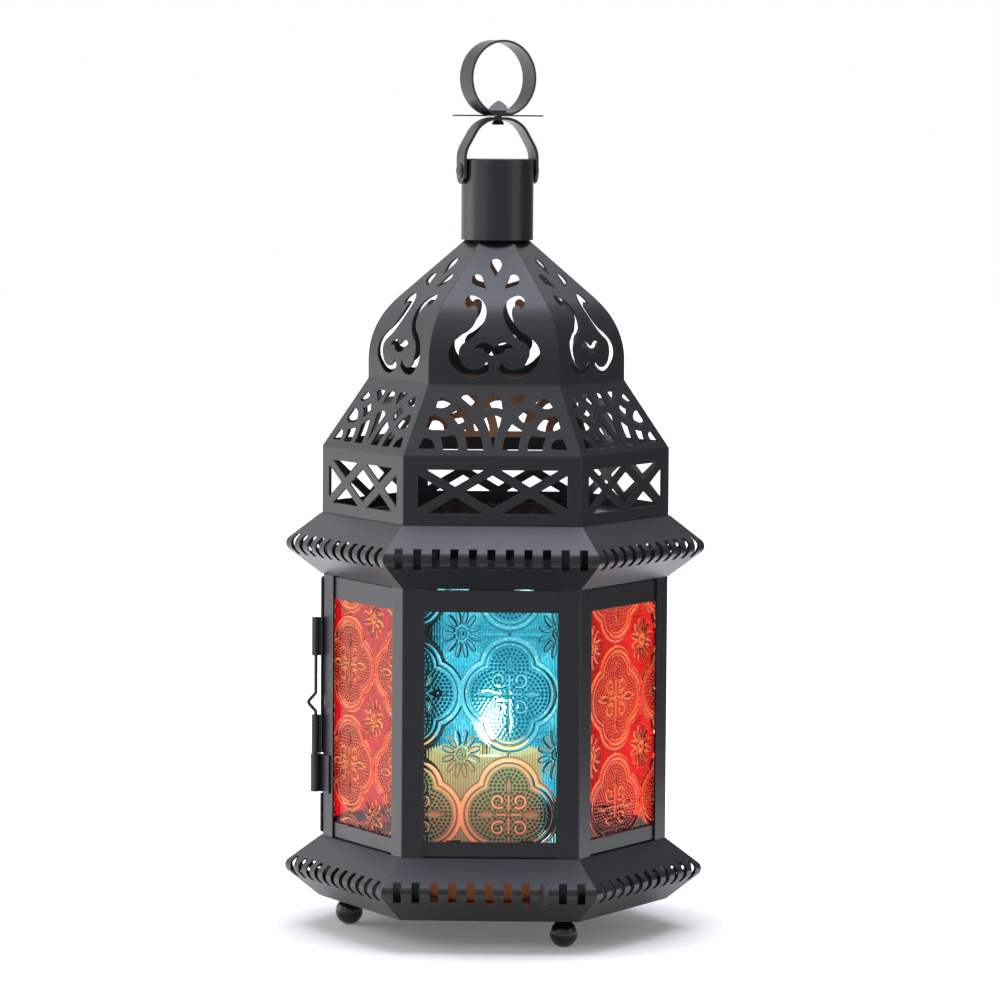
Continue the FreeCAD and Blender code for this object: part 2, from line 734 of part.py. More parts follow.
def lattice_cutters():
    """Openings of the upright band: a frame crossed by diagonal bars."""
    half = FACE_WIDTH / 2.0 - LATTICE_SIDE
    low = ROOF_BASE + LATTICE_SILL
    high = FAN_BASE - LATTICE_HEAD
    window = box_between((ROOF_FLAT - 2.0 * SHEET, -half, low), (ROOF_FLAT + SHEET, half, high))
    width = 2.0 * half / LATTICE_CROSSES
    bars = []
    for n in range(LATTICE_CROSSES):
        left = -half + n * width
        for start, end in (((left, low), (left + width, high)), ((left, high), (left + width, low))):
            length = math.hypot(end[0] - start[0], end[1] - start[1])
            bar = Part.makeBox(3.0 * SHEET, 2.0 * length, LATTICE_BAR)
            bar.translate(FreeCAD.Vector(ROOF_FLAT - 2.0 * SHEET, -length, -LATTICE_BAR / 2.0))
            tilt = math.degrees(math.atan2(end[1] - start[1], end[0] - start[0]))
            bar.rotate(FreeCAD.Vector(0, 0, 0), FreeCAD.Vector(1, 0, 0), tilt)
            bar.translate(on_wall((start[0] + end[0]) / 2.0, (start[1] + end[1]) / 2.0))
            bars.append(bar)
    return without(window, bars).Solids


def roof_cutters():
    """Every opening of one roof panel, punched square to its face."""
    faces = []
    for outline in FAN_CENTRE + FAN_SIDE + [mirrored(side) for side in FAN_SIDE]:
        faces.append(flat_face(outline[0], outline[1], on_fan))
    for outline in (SCROLL, mirrored(SCROLL), BAT):
        faces.append(flat_face(outline[0], outline[1], on_dome))
    faces += [tear_face(*tear) for tear in TEARS]
    return [face.extrude(FreeCAD.Vector(REACH, 0, 0)) for face in faces] + lattice_cutters()


def roof_panel():
    """One sheet of the roof: upright lattice band, sloping fan band and dome."""
    points = [
        (ROOF_FLAT, ROOF_BASE),
        (ROOF_FLAT, FAN_BASE),
        (DOME_FLAT, DOME_BASE),
        (DOME_FLAT, DOME_EAVE),
        (DOME_TOP_FLAT, DOME_TOP),
    ]
    section = bent_sheet(points, [FOLD_RADIUS, FOLD_RADIUS, DOME_BEND], SHEET, on_section)
    sheet = extruded(section, FreeCAD.Vector(0, 1, 0), REACH)
    sheet = sheet.common(face_wedge(ROOF_BASE, DOME_TOP, SEAM_GAP))
    return without(sheet, roof_cutters())


# Collar, bail and ring
def along_pivot(shape, reach, level):
    """Turn an upright shape so that it lies along +X, starting at a reach."""
    copy = shape.copy()
    copy.rotate(FreeCAD.Vector(0, 0, 0), FreeCAD.Vector(0, 1, 0), 90)
    copy.translate(FreeCAD.Vector(reach, 0, level))
    return copy


def both_ends(shape):
    """A shape at the bail's two pivots, turned to the handle's direction."""
    return [turned(shape, HANDLE_TURN), turned(shape, HANDLE_TURN + 180.0)]


def collar():
    """Tube with a closed top, standing on the roof."""
    radius = COLLAR_DIAMETER / 2.0
    tube = upright(radius, DOME_TOP, COLLAR_TOP)
    middle = (DOME_TOP + COLLAR_TOP) / 2.0
    rim = [edge for edge in tube.Edges if edge.Closed and edge.Vertexes[0].Z > middle]
    tube = tube.makeFillet(COLLAR_EDGE, rim)
    tube = tube.cut(upright(radius - COLLAR_WALL, DOME_TOP, COLLAR_TOP - COLLAR_WALL))
    hole = upright(BAIL_RIVET / 2.0 + RIVET_FIT, 0.0, COLLAR_DIAMETER)
    return without(tube, both_ends(along_pivot(hole, 0.0, BAIL_PIVOT)))


def collar_base():
    """Washer in the foot of the collar that the roof panels meet."""
    radius = COLLAR_DIAMETER / 2.0 - COLLAR_WALL - COLLAR_FIT
    plate = upright(radius, DOME_TOP, DOME_TOP + COLLAR_WALL)
    return plate.cut(upright(COLLAR_BASE_BORE / 2.0, DOME_TOP, DOME_TOP + COLLAR_WALL))


def bail_rivets():
    """Two rivets in the collar that the bail swings on."""
    half = BAIL_RIVET_HEAD / 2.0
    wall = COLLAR_DIAMETER / 2.0 - COLLAR_WALL
    tail_top = math.sqrt(wall * wall - half * half) - RIVET_FIT
    seat = BAIL_OUTSIDE + SWIVEL_GAP
    shank = upright(BAIL_RIVET / 2.0, tail_top - BAIL_RIVET_TAIL, seat)
    shank = shank.fuse(upright(half, tail_top - BAIL_RIVET_TAIL, tail_top))
    head = dome_cap(BAIL_RIVET_HEAD, RIVET_HEAD_RISE)
    head.translate(UP * seat)
    return both_ends(along_pivot(shank.fuse(head), 0.0, BAIL_PIVOT))


def bail():
    """Arched strip with rounded tabs at its pivots, leaning in to a flat crown."""
    foot_level = BAIL_PIVOT - BAIL_TAB
    neck_level = BAIL_PIVOT + BAIL_NECK
    points = [
        (BAIL_OUTSIDE, foot_level),
        (BAIL_OUTSIDE, neck_level),
        (BAIL_CROWN_WIDTH / 2.0, BAIL_CROWN),
        (-BAIL_CROWN_WIDTH / 2.0, BAIL_CROWN),
        (-BAIL_OUTSIDE, neck_level),
        (-BAIL_OUTSIDE, foot_level),
    ]
    bends = [BAIL_BEND] * (len(points) - 2)
    section = bent_sheet(points, bends, BAIL_SHEET, on_section)
    strip = extruded(section, FreeCAD.Vector(0, 1, 0), BAIL_STRIP)
    half = BAIL_STRIP / 2.0
    shoulder = foot_level + half
    top = BAIL_CROWN + half
    steps = [[(0.0, foot_level), (half, shoulder)], [(half, top)], [(-half, top)]]
    tabs = flat_face((-half, shoulder), steps, on_wall)
    strip = strip.common(extruded(tabs, FreeCAD.Vector(1, 0, 0), REACH))
    pivot = upright(BAIL_RIVET / 2.0 + RUNNING_FIT, -REACH / 2.0, REACH / 2.0)
    crown = upright(SWIVEL_SHANK / 2.0 + RUNNING_FIT, BAIL_CROWN - BAIL_STRIP, BAIL_CROWN + BAIL_STRIP)
    strip = without(strip, [along_pivot(pivot, 0.0, BAIL_PIVOT), crown])
    return turned(strip, HANDLE_TURN)


def petal(angle, lift):
    """Pointed petal from the middle of the rosette outwards, lifted beyond its fold."""
    half = PETAL_WIDTH / 2.0
    tip = ROSETTE_SPAN / 2.0
    bow = (PETAL_BELLY + tip) / 2.0
    bow_half = half * PETAL_FULLNESS
    right = [[(PETAL_BELLY, -half)], [(bow, -bow_half), (tip, 0.0)]]
    left = [[(bow, bow_half), (PETAL_BELLY, half)], [(0.0, half)]]
    face = flat_face((0.0, -half), right + left, on_plan)
    leaf = face.extrude(UP * ROSETTE_SHEET)
    if lift:
        outer = leaf.common(box_between((PETAL_FOLD, -tip, -tip), (2.0 * tip, tip, tip)))
        outer.rotate(FreeCAD.Vector(PETAL_FOLD, 0, 0), FreeCAD.Vector(0, -1, 0), lift)
        inner = leaf.common(box_between((0.0, -tip, -tip), (PETAL_FOLD, tip, tip)))
        leaf = inner.fuse(outer)
    leaf.translate(UP * ROSETTE_LOW)
    return turned(leaf, angle)


def rosette():
    """Four-petalled plate under the ring, its back petal bent up."""
    disc = upright(ROSETTE_DISC / 2.0, ROSETTE_LOW, RING_LOW)
    petals = []
    for n in range(PETAL_COUNT):
        petals.append(petal(n * 360.0 / PETAL_COUNT, PETAL_LIFT if n == 1 else 0.0))
    plate = joined([disc] + petals)
    return plate.cut(upright(SWIVEL_SHANK / 2.0 + RIVET_FIT, BAIL_CROWN, RING_LOW + RING_STRIP))


def hanging_ring():
    """Strip loop, flattened where the swivel rivet passes."""
    radius = RING_DIAMETER / 2.0
    centre = RING_LOW + radius - RING_FLAT
    middle = FreeCAD.Vector(0, -RING_STRIP / 2.0, centre)
    axis = FreeCAD.Vector(0, 1, 0)
    outer = Part.makeCylinder(radius, RING_STRIP, middle, axis)
    inner = Part.makeCylinder(radius - RING_SHEET, RING_STRIP, middle, axis)
    top = centre + RING_DIAMETER
    above = box_between((-RING_DIAMETER, -RING_STRIP, RING_LOW), (RING_DIAMETER, RING_STRIP, top))
    seat = box_between((-radius, -RING_STRIP, RING_LOW), (radius, RING_STRIP, RING_LOW + RING_SHEET))
    loop = outer.common(above).cut(inner).fuse(outer.common(seat))
    hole = upright(SWIVEL_SHANK / 2.0 + RIVET_FIT, RING_LOW - RING_SHEET, RING_LOW + 2.0 * RING_SHEET)
    return turned(loop.cut(hole), RING_TURN)


def swivel_rivet():
    """Rivet that holds ring and rosette and turns in the crown of the bail."""
    seat = RING_LOW + RING_SHEET
    tail_top = BAIL_CROWN - BAIL_SHEET - SWIVEL_GAP
    shank = upright(SWIVEL_SHANK / 2.0, tail_top, seat)
    head = upright(SWIVEL_HEAD / 2.0, seat, seat + SWIVEL_HEAD_RISE)
    low = FreeCAD.Vector(0, 0, tail_top - SWIVEL_TAIL_DROP)
    tail = Part.makeCone(SWIVEL_TAIL / 2.0, SWIVEL_TAIL_TOP / 2.0, SWIVEL_TAIL_DROP, low)
    return joined([shank, head, tail])


# Candle
def candle():
    """Round candle with a shallow melt pool and a bore for its wick."""
    wax = upright(CANDLE_DIAMETER / 2.0, FLOOR_TOP, CANDLE_TOP, CANDLE_SHIFT)
    rims = [edge for edge in wax.Edges if edge.Closed]
    wax = wax.makeFillet(CANDLE_EDGE, rims)
    half = CANDLE_POOL / 2.0
    ball = (half * half + CANDLE_POOL_DEPTH * CANDLE_POOL_DEPTH) / (2.0 * CANDLE_POOL_DEPTH)
    pool = Part.makeSphere(ball, FreeCAD.Vector(CANDLE_SHIFT, 0, CANDLE_TOP + ball - CANDLE_POOL_DEPTH))
    bore = upright(WICK_DIAMETER / 2.0 + WICK_FIT, CANDLE_TOP - WICK_DEPTH, CANDLE_TOP, CANDLE_SHIFT)
    return without(wax, [pool, bore])


def wick():
    """Wick standing in its bore."""
    return upright(WICK_DIAMETER / 2.0, CANDLE_TOP - WICK_DEPTH, CANDLE_TOP + WICK_RISE, CANDLE_SHIFT)


# Build every node
os.makedirs("parts", exist_ok=True)

save("lower_skirt", [lower_skirt()])
save("floor_plate", [floor_plate()])
save("upper_skirt", [upper_skirt()])
for (name, _), (x, y) in zip(FEET.items(), foot_places()):
    save("ball_foot_" + name, [foot(x, y)])
save("foot_rivets", [foot_rivet(x, y) for x, y in foot_places()])

plain_post = post(POST_FLAT, POST_FLANGE, POST_FLAT, POST_FLANGE)
for name, angle in CORNERS.items():
    save("corner_post_" + name, [turned(plain_post, angle)])
save("hinge_post", [turned(post(POST_FLAT, POST_FLANGE, STOP_FLAT, STOP_FLANGE), HINGE_CORNER)])
save("latch_post", [turned(post(STOP_FLAT, STOP_FLANGE, POST_FLAT, POST_FLANGE), LATCH_CORNER)])
save("top_rail", [rail(WINDOW_HIGH, WINDOW_HIGH + TOP_RAIL)])
save("bottom_rail", [rail(WINDOW_LOW - BOTTOM_RAIL, WINDOW_LOW)])

glass_plate = pane(PANE_FLAT, PANE_LAP)
glass_clips = clips(PANE_FLAT, PANE_LAP)
for name, angle in FACES.items():
    save("pane_" + name, [turned(glass_plate, angle)])
save("pane_clips", [turned(clip, angle) for angle in FACES.values() for clip in glass_clips])

save("door_frame", [door_frame()])
save("door_pane", [turned(pane(RAIL_FLAT, DOOR_PANE_LAP), DOOR_FACE)])
save("door_pane_clips", [turned(clip, DOOR_FACE) for clip in clips(RAIL_FLAT, DOOR_PANE_LAP)])
frame_leaves, door_leaves, hinge_pins = hinges()
save("frame_hinge_leaves", frame_leaves)
save("door_hinge_leaves", door_leaves)
save("hinge_pins", hinge_pins)
save("latch_keeper", [latch_keeper()])
save("lower_latch_guide", [latch_guide(latch_levels()[1])])
save("upper_latch_guide", [latch_guide(latch_levels()[3])])
save("latch_bolt", [latch_bolt()])

panel = roof_panel()
for name, angle in list(FACES.items()) + [("back_left", DOOR_FACE)]:
    save("roof_panel_" + name, [turned(panel, angle)])

save("collar", [collar()])
save("collar_base", [collar_base()])
save("bail_rivets", bail_rivets())
save("bail", [bail()])
save("rosette", [rosette()])
save("hanging_ring", [hanging_ring()])
save("swivel_rivet", [swivel_rivet()])
save("candle_wax", [candle()])
save("candle_wick", [wick()])
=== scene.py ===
import json
import logging
import math
from dataclasses import dataclass, field
from enum import Enum
from typing import Any

import bpy
import numpy as np
from mathutils import Matrix, Vector


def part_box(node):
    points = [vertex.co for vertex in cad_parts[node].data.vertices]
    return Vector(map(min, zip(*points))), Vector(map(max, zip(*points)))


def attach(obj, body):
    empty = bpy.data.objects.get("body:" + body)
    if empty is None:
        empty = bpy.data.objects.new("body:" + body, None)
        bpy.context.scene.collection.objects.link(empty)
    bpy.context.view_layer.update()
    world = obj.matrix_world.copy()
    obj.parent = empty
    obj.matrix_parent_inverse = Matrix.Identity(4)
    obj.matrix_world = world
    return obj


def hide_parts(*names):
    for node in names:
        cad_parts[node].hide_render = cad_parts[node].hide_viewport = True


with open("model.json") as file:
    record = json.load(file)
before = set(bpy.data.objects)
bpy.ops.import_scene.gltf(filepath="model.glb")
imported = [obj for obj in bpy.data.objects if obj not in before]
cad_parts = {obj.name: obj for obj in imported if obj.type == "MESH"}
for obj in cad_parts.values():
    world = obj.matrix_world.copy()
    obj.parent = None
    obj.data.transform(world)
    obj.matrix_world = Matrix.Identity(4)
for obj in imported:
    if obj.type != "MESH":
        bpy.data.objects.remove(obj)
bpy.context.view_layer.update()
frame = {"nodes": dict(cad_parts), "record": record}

log = logging.getLogger("lantern")

MM = 0.001
Colour = tuple[float, float, float]


class Varying:
    """A number that changes over a surface: a node socket that takes part in sums."""

    def __init__(self, shader: "Shader", socket: bpy.types.NodeSocket) -> None:
        """Wrap one output socket of a shader's nodes."""
        self.shader = shader
        self.socket = socket

    def _math(self, operation: str, first: Any, second: Any) -> "Varying":
        """Add one Math node.

        Args:
            operation: Name of the Math node's operation.
            first: First number or varying value.
            second: Second number or varying value.

        Returns:
            The node's result.
        """
        return self.shader.node("ShaderNodeMath", {"operation": operation}, {0: first, 1: second})

    def __add__(self, other: Any) -> "Varying":
        """Sum."""
        return self._math("ADD", self, other)

    def __radd__(self, other: Any) -> "Varying":
        """Sum with a plain number first."""
        return self._math("ADD", other, self)

    def __sub__(self, other: Any) -> "Varying":
        """Difference."""
        return self._math("SUBTRACT", self, other)

    def __rsub__(self, other: Any) -> "Varying":
        """Difference from a plain number."""
        return self._math("SUBTRACT", other, self)

    def __mul__(self, other: Any) -> "Varying":
        """Product."""
        return self._math("MULTIPLY", self, other)

    def __rmul__(self, other: Any) -> "Varying":
        """Product with a plain number first."""
        return self._math("MULTIPLY", other, self)

    def larger(self, other: Any) -> "Varying":
        """The larger of two values."""
        return self._math("MAXIMUM", self, other)

    def wave(self) -> "Varying":
        """Sine of the value."""
        return self._math("SINE", self, 0.0)


class Shader:
    """Nodes of one material or of the world."""

    def __init__(self, owner: bpy.types.ID) -> None:
        """Clear an owner's nodes.

        Args:
            owner: Material or world whose nodes are made here.
        """
        owner.use_nodes = True
        self.tree = owner.node_tree
        self.tree.nodes.clear()

    def node(
        self,
        kind: str,
        settings: dict[str, Any] | None = None,
        inputs: dict[Any, Any] | None = None,
        output: Any = 0,
    ) -> Varying:
        """Add any node.

        Args:
            kind: Blender's type name of the node.
            settings: Properties set before the sockets; stops holds a ramp's places and colours.
            inputs: Numbers, colours or varying values by socket name or index.
            output: Name or index of the wanted output.

        Returns:
            The wanted output.
        """
        made = self.tree.nodes.new(kind)
        for name, setting in (settings or {}).items():
            if name == "stops":
                self._set_stops(made.color_ramp, setting)
            else:
                setattr(made, name, setting)
        for name, value in (inputs or {}).items():
            socket = made.inputs[name]
            if isinstance(value, Varying):
                self.tree.links.new(value.socket, socket)
            else:
                socket.default_value = value
        outputs = made.outputs
        return Varying(self, outputs[output]) if len(outputs) else Varying(self, None)

    @staticmethod
    def _set_stops(ramp: bpy.types.ColorRamp, stops: list[tuple[float, Colour]]) -> None:
        """Give a ramp its stops.

        Args:
            ramp: Ramp of two stops, as Blender makes it.
            stops: Place and colour of each stop, in order.
        """
        while len(ramp.elements) < len(stops):
            ramp.elements.new(1.0)
        for element, (place, colour) in zip(ramp.elements, stops):
            element.position = place
            element.color = (*colour, 1.0)

    def mix(self, factor: Any, first: Any, second: Any) -> Varying:
        """Blend two colours.

        Args:
            factor: Share of the second colour.
            first: First colour or varying colour.
            second: Second colour or varying colour.

        Returns:
            The blended colour.
        """
        return self.node("ShaderNodeMix", {"data_type": "RGBA"}, {0: factor, 6: first, 7: second}, 2)

    def noise(self, scale: float, detail: float) -> Varying:
        """Cloudy noise on the piece's own coordinates.

        Args:
            scale: Cells per metre.
            detail: Number of finer layers.

        Returns:
            The noise, from 0 to 1.
        """
        place = self.node("ShaderNodeTexCoord", output="Object")
        return self.node("ShaderNodeTexNoise", {}, {"Vector": place, "Scale": scale, "Detail": detail})

    def attribute(self, name: str) -> Varying:
        """Number stored on a mesh's points."""
        return self.node("ShaderNodeAttribute", {"attribute_name": name}, {}, "Fac")

    def height(self) -> Varying:
        """Height above the feet, in metres."""
        place = self.node("ShaderNodeTexCoord", output="Object")
        return self.node("ShaderNodeSeparateXYZ", {}, {0: place}, 2)

    def between(self, value: Varying, low: float, high: float, first: float, second: float) -> Varying:
        """Carry a value from one range to another, held at the ends.

        Args:
            value: Varying value.
            low: Value that becomes first.
            high: Value that becomes second.
            first: Result at low.
            second: Result at high.

        Returns:
            The carried value.
        """
        inputs = {"Value": value, "From Min": low, "From Max": high, "To Min": first, "To Max": second}
        return self.node("ShaderNodeMapRange", {"clamp": True}, inputs)

    def finish(self, surface: Varying, kind: str = "ShaderNodeOutputMaterial") -> None:
        """Send a shader to the output.

        Args:
            surface: Shader to show.
            kind: Type name of the output node.
        """
        self.node(kind, {}, {"Surface": surface})

    def finish_principled(self, inputs: dict[str, Any]) -> None:
        """Send a Principled shader with these inputs to the output."""
        self.finish(self.node("ShaderNodeBsdfPrincipled", {}, inputs))

    def bump(
        self, strength: float, depth_mm: float, height: Varying, normal: Varying | None = None
    ) -> Varying:
        """Bend the normal by fine relief.

        Args:
            strength: Share of the relief that shows.
            depth_mm: Depth of the relief.
            height: Height of the relief, from 0 to 1.
            normal: Normal to start from, or None for the surface's own.

        Returns:
            The bent normal.
        """
        inputs = {"Strength": strength, "Distance": depth_mm * MM, "Height": height}
        if normal is not None:
            inputs["Normal"] = normal
        return self.node("ShaderNodeBump", {}, inputs)


def rgba(colour: Colour) -> tuple[float, float, float, float]:
    """Colour with full cover."""
    return (*colour, 1.0)


@dataclass(frozen=True)
class PaintFinish:
    """Black paint on sheet or cast metal."""

    name: str
    coat: Colour
    # Lighter bluish tone on faces that look up: partly real dust, partly a painted sheen of the bluish top
    # light.
    dust_and_sheen: Colour
    # Lighter colour on rounded edges: partly real paint wear, partly a painted highlight along the edges.
    worn_and_highlit: Colour
    roughness: float
    roughness_swing: float
    peel: float
    edge_mm: float

    CLOUDS = (55.0, 4.0)
    SPECKS = (900.0, 2.0)
    GRAIN = (2600.0, 2.0)
    EDGE_SAMPLES = 3
    DUST_AND_SHEEN_BY_FACING = (0.2, 1.0, 0.0, 0.55)
    DUST_AND_SHEEN_BY_CLOUDS = (0.35, 0.75, 0.3, 1.0)
    WEAR_AND_HIGHLIGHT_BY_CORNER = (0.03, 0.3, 0.0, 1.0)
    WEAR_AND_HIGHLIGHT_BY_SPECKS = (0.4, 0.6, 0.3, 1.0)
    SPECK_ROUGHNESS = 0.08
    GRAIN_SHARE = 0.6
    SPECK_SHARE = 0.4
    PEEL_MM = 0.04

    def material(self) -> bpy.types.Material:
        """Make the paint.

        Returns:
            The material.
        """
        material = bpy.data.materials.new(self.name)
        shader = Shader(material)
        clouds, specks, grain = (shader.noise(*cells) for cells in (self.CLOUDS, self.SPECKS, self.GRAIN))
        facing = shader.node("ShaderNodeNewGeometry", output="Normal")
        upward = shader.node("ShaderNodeSeparateXYZ", {}, {0: facing}, 2)
        # Where that tone goes: faces that look up, broken up by clouds; partly dust, partly painted sheen.
        dust_and_sheen_share = shader.between(upward, *self.DUST_AND_SHEEN_BY_FACING) * shader.between(clouds, *self.DUST_AND_SHEEN_BY_CLOUDS)
        radius = {"Radius": self.edge_mm * MM}
        rounded = shader.node("ShaderNodeBevel", {"samples": self.EDGE_SAMPLES}, radius)
        dot_product = {"operation": "DOT_PRODUCT"}
        flush = shader.node("ShaderNodeVectorMath", dot_product, {0: rounded, 1: facing}, "Value")
        # Rounded edges get that lighter colour in patches: partly wear, partly painted edge highlight.
        corner = shader.between(1.0 - flush, *self.WEAR_AND_HIGHLIGHT_BY_CORNER)
        worn_and_highlit = corner * shader.between(specks, *self.WEAR_AND_HIGHLIGHT_BY_SPECKS)
        colour = shader.mix(dust_and_sheen_share, rgba(self.coat), rgba(self.dust_and_sheen))
        colour = shader.mix(worn_and_highlit, colour, rgba(self.worn_and_highlit))
        rough = self.roughness + (clouds - 0.5) * self.roughness_swing
        rough = rough + (specks - 0.5) * self.SPECK_ROUGHNESS
        relief = grain * self.GRAIN_SHARE + specks * self.SPECK_SHARE
        shader.finish_principled({
            "Base Color": colour,
            "Roughness": rough,
            "Normal": shader.bump(self.peel, self.PEEL_MM, relief, rounded),
        })
        return material


@dataclass(frozen=True)
class GlassFinish:
    """Pressed coloured glass of one tint, with highlights and shade painted on by the height and the
    steepness of its relief.
    """

    name: str
    # Paler colour towards the top of the relief: a painted highlight on the ridges.
    crest_highlight: Colour
    tint: Colour
    # Paler colour in the low beds inside the quatrefoils, orange on the red glass: a painted glow of light
    # coming through.
    hollow_glow: Colour
    # Colour on the steep walls of the relief: painted shade on the blue and amber glass, a painted orange
    # highlight on the red glass.
    steep_light_and_shade: Colour
    # Darker colour on the stipple dots: painted shade.
    dot_shade: Colour
    # Darker colour on the leaves, daisies and studs: painted shade.
    fill_shade: Colour
    ior: float

    ATTRIBUTES = ("relief", "slope", "dots", "ribs", "fills", "across", "back")
    SEED = (420.0, 3.0)
    RIB_PITCH_MM = 0.9
    RIB_SHARE = 0.2
    SEED_SHARE = 0.3
    CREST_HIGHLIGHT_BY_HEIGHT = (0.25, 0.95, 0.0, 1.0)
    HOLLOW_GLOW_BY_HEIGHT = (0.11, 0.18, 1.0, 0.0)
    FILL_SHADE_BY_FILLS = (0.05, 0.6, 0.0, 0.85)
    STEEP_LIGHT_AND_SHADE_BY_SLOPE = (0.3, 1.1, 0.0, 0.95)
    DOT_SHADE_BY_STIPPLE = (0.02, 0.25, 0.0, 1.0)
    ROUGHNESS_BY_SEED = (0.3, 0.7, 0.02, 0.06)
    RIB_HEIGHT = 0.5
    BUMP = (0.35, 0.06)
    CLEAR = (1.0, 1.0, 1.0)

    def material(self) -> bpy.types.Material:
        """Make the glass, clear on its flat back so that light is tinted once.

        Returns:
            The material.
        """
        material = bpy.data.materials.new(self.name)
        shader = Shader(material)
        relief, slope, dots, ribs, fills, across, back = map(shader.attribute, self.ATTRIBUTES)
        seed = shader.noise(*self.SEED)
        ribbing = (across * (2.0 * math.pi / self.RIB_PITCH_MM)).wave() * ribs
        height = relief + ribbing * self.RIB_SHARE + (seed - 0.5) * self.SEED_SHARE
        layers = (
            # paler ridges: painted highlight
            (self.crest_highlight, height, self.CREST_HIGHLIGHT_BY_HEIGHT),
            # low beds: painted glow
            (self.hollow_glow, relief, self.HOLLOW_GLOW_BY_HEIGHT),
            # leaves, daisies and studs: painted shade
            (self.fill_shade, fills, self.FILL_SHADE_BY_FILLS),
            # steep walls: painted shade, on the red glass painted highlight
            (self.steep_light_and_shade, slope, self.STEEP_LIGHT_AND_SHADE_BY_SLOPE),
            # stipple dots: painted shade
            (self.dot_shade, dots, self.DOT_SHADE_BY_STIPPLE),
        )
        colour = rgba(self.tint)
        for layer, measure, reach in layers:
            colour = shader.mix(shader.between(measure, *reach), colour, rgba(layer))
        shader.finish_principled({
            "Base Color": shader.mix(back, colour, rgba(self.CLEAR)),
            "Roughness": shader.between(seed, *self.ROUGHNESS_BY_SEED),
            "Normal": shader.bump(*self.BUMP, ribbing * self.RIB_HEIGHT + seed),
            "Transmission Weight": 1.0,
            "IOR": self.ior,
        })
        return material


@dataclass(frozen=True)
class WaxFinish:
    """Candle wax, with the flame's light on it painted in as a glow that grows towards the top."""

    name: str
    body: Colour
    low_mm: float
    high_mm: float
    glow: tuple[tuple[float, Colour], ...]
    strength: float

    CLOUDS = (60.0, 3.0)
    RIPPLES = (180.0, 3.0)
    GLOW_SWING = 0.12
    SHADE = 0.86
    ROUGHNESS_BY_CLOUDS = (0.3, 0.7, 0.38, 0.55)
    BUMP = (0.3, 0.3)

    def material(self) -> bpy.types.Material:
        """Make the wax.

        Returns:
            The material.
        """
        material = bpy.data.materials.new(self.name)
        shader = Shader(material)
        clouds = shader.noise(*self.CLOUDS)
        up = shader.between(shader.height(), self.low_mm * MM, self.high_mm * MM, 0.0, 1.0)
        glow_share = up + (clouds - 0.5) * self.GLOW_SWING
        shade = tuple(self.SHADE * channel for channel in self.body)
        shader.finish_principled({
            "Base Color": shader.mix(clouds, rgba(self.body), rgba(shade)),
            "Roughness": shader.between(clouds, *self.ROUGHNESS_BY_CLOUDS),
            "Normal": shader.bump(*self.BUMP, shader.noise(*self.RIPPLES)),
            # Emission that rises with height: a painted glow of the flame's light on the wax.
            "Emission Color": shader.node("ShaderNodeValToRGB", {"stops": self.glow}, {0: glow_share}),
            "Emission Strength": self.strength,
        })
        return material


@dataclass(frozen=True)
class FlameFinish:
    """Candle flame: blue at the root, white in the middle, yellow at the tip."""

    name: str
    low_mm: float
    high_mm: float
    strength: float

    STOPS = (
        (0.0, (0.12, 0.16, 0.5)),
        (0.2, (1.0, 0.55, 0.2)),
        (0.5, (1.0, 0.92, 0.7)),
        (1.0, (1.0, 0.6, 0.18)),
    )

    def material(self) -> bpy.types.Material:
        """Make the flame.

        Returns:
            The material.
        """
        material = bpy.data.materials.new(self.name)
        shader = Shader(material)
        up = shader.between(shader.height(), self.low_mm * MM, self.high_mm * MM, 0.0, 1.0)
        colour = shader.node("ShaderNodeValToRGB", {"stops": self.STOPS}, {0: up})
        shader.finish_principled({
            "Base Color": colour,
            "Roughness": 1.0,
            "Emission Color": colour,
            "Emission Strength": self.strength,
        })
        return material


@dataclass(frozen=True)
class WickFinish:
    """Charred braid with ash on it."""

    name: str
    char: Colour
    ash: Colour

    BRAID = (1500.0, 3.0)
    ROUGHNESS_BY_BRAID = (0.3, 0.7, 0.75, 0.95)
    BUMP = (0.8, 0.2)

    def material(self) -> bpy.types.Material:
        """Make the wick.

        Returns:
            The material.
        """
        material = bpy.data.materials.new(self.name)
        shader = Shader(material)
        braid = shader.noise(*self.BRAID)
        shader.finish_principled({
            "Base Color": shader.mix(braid, rgba(self.char), rgba(self.ash)),
            "Roughness": shader.between(braid, *self.ROUGHNESS_BY_BRAID),
            "Normal": shader.bump(*self.BUMP, braid),
        })
        return material


SATIN_BLACK = PaintFinish(
    name="satin_black_sheet",
    coat=(0.008, 0.008, 0.0095),
    dust_and_sheen=(0.018, 0.019, 0.037),
    worn_and_highlit=(0.05, 0.05, 0.055),
    roughness=0.32,
    roughness_swing=0.14,
    peel=0.22,
    edge_mm=0.3,
)
GLOSS_BLACK = PaintFinish(
    name="gloss_black_ball",
    coat=(0.005, 0.005, 0.006),
    dust_and_sheen=(0.012, 0.012, 0.014),
    worn_and_highlit=(0.02, 0.02, 0.022),
    roughness=0.2,
    roughness_swing=0.1,
    peel=0.12,
    edge_mm=0.2,
)
WIRE_BLACK = PaintFinish(
    name="black_hardware",
    coat=(0.012, 0.012, 0.0135),
    dust_and_sheen=(0.03, 0.031, 0.038),
    worn_and_highlit=(0.06, 0.06, 0.065),
    roughness=0.34,
    roughness_swing=0.16,
    peel=0.3,
    edge_mm=0.2,
)
BLUE_GLASS = GlassFinish(
    name="blue_figured_glass",
    crest_highlight=(0.24, 0.82, 0.92),
    tint=(0.02, 0.33, 0.44),
    hollow_glow=(0.22, 0.8, 0.9),
    steep_light_and_shade=(0.0004, 0.04, 0.075),
    dot_shade=(0.0002, 0.03, 0.062),
    fill_shade=(0.005, 0.19, 0.28),
    ior=1.3,
)
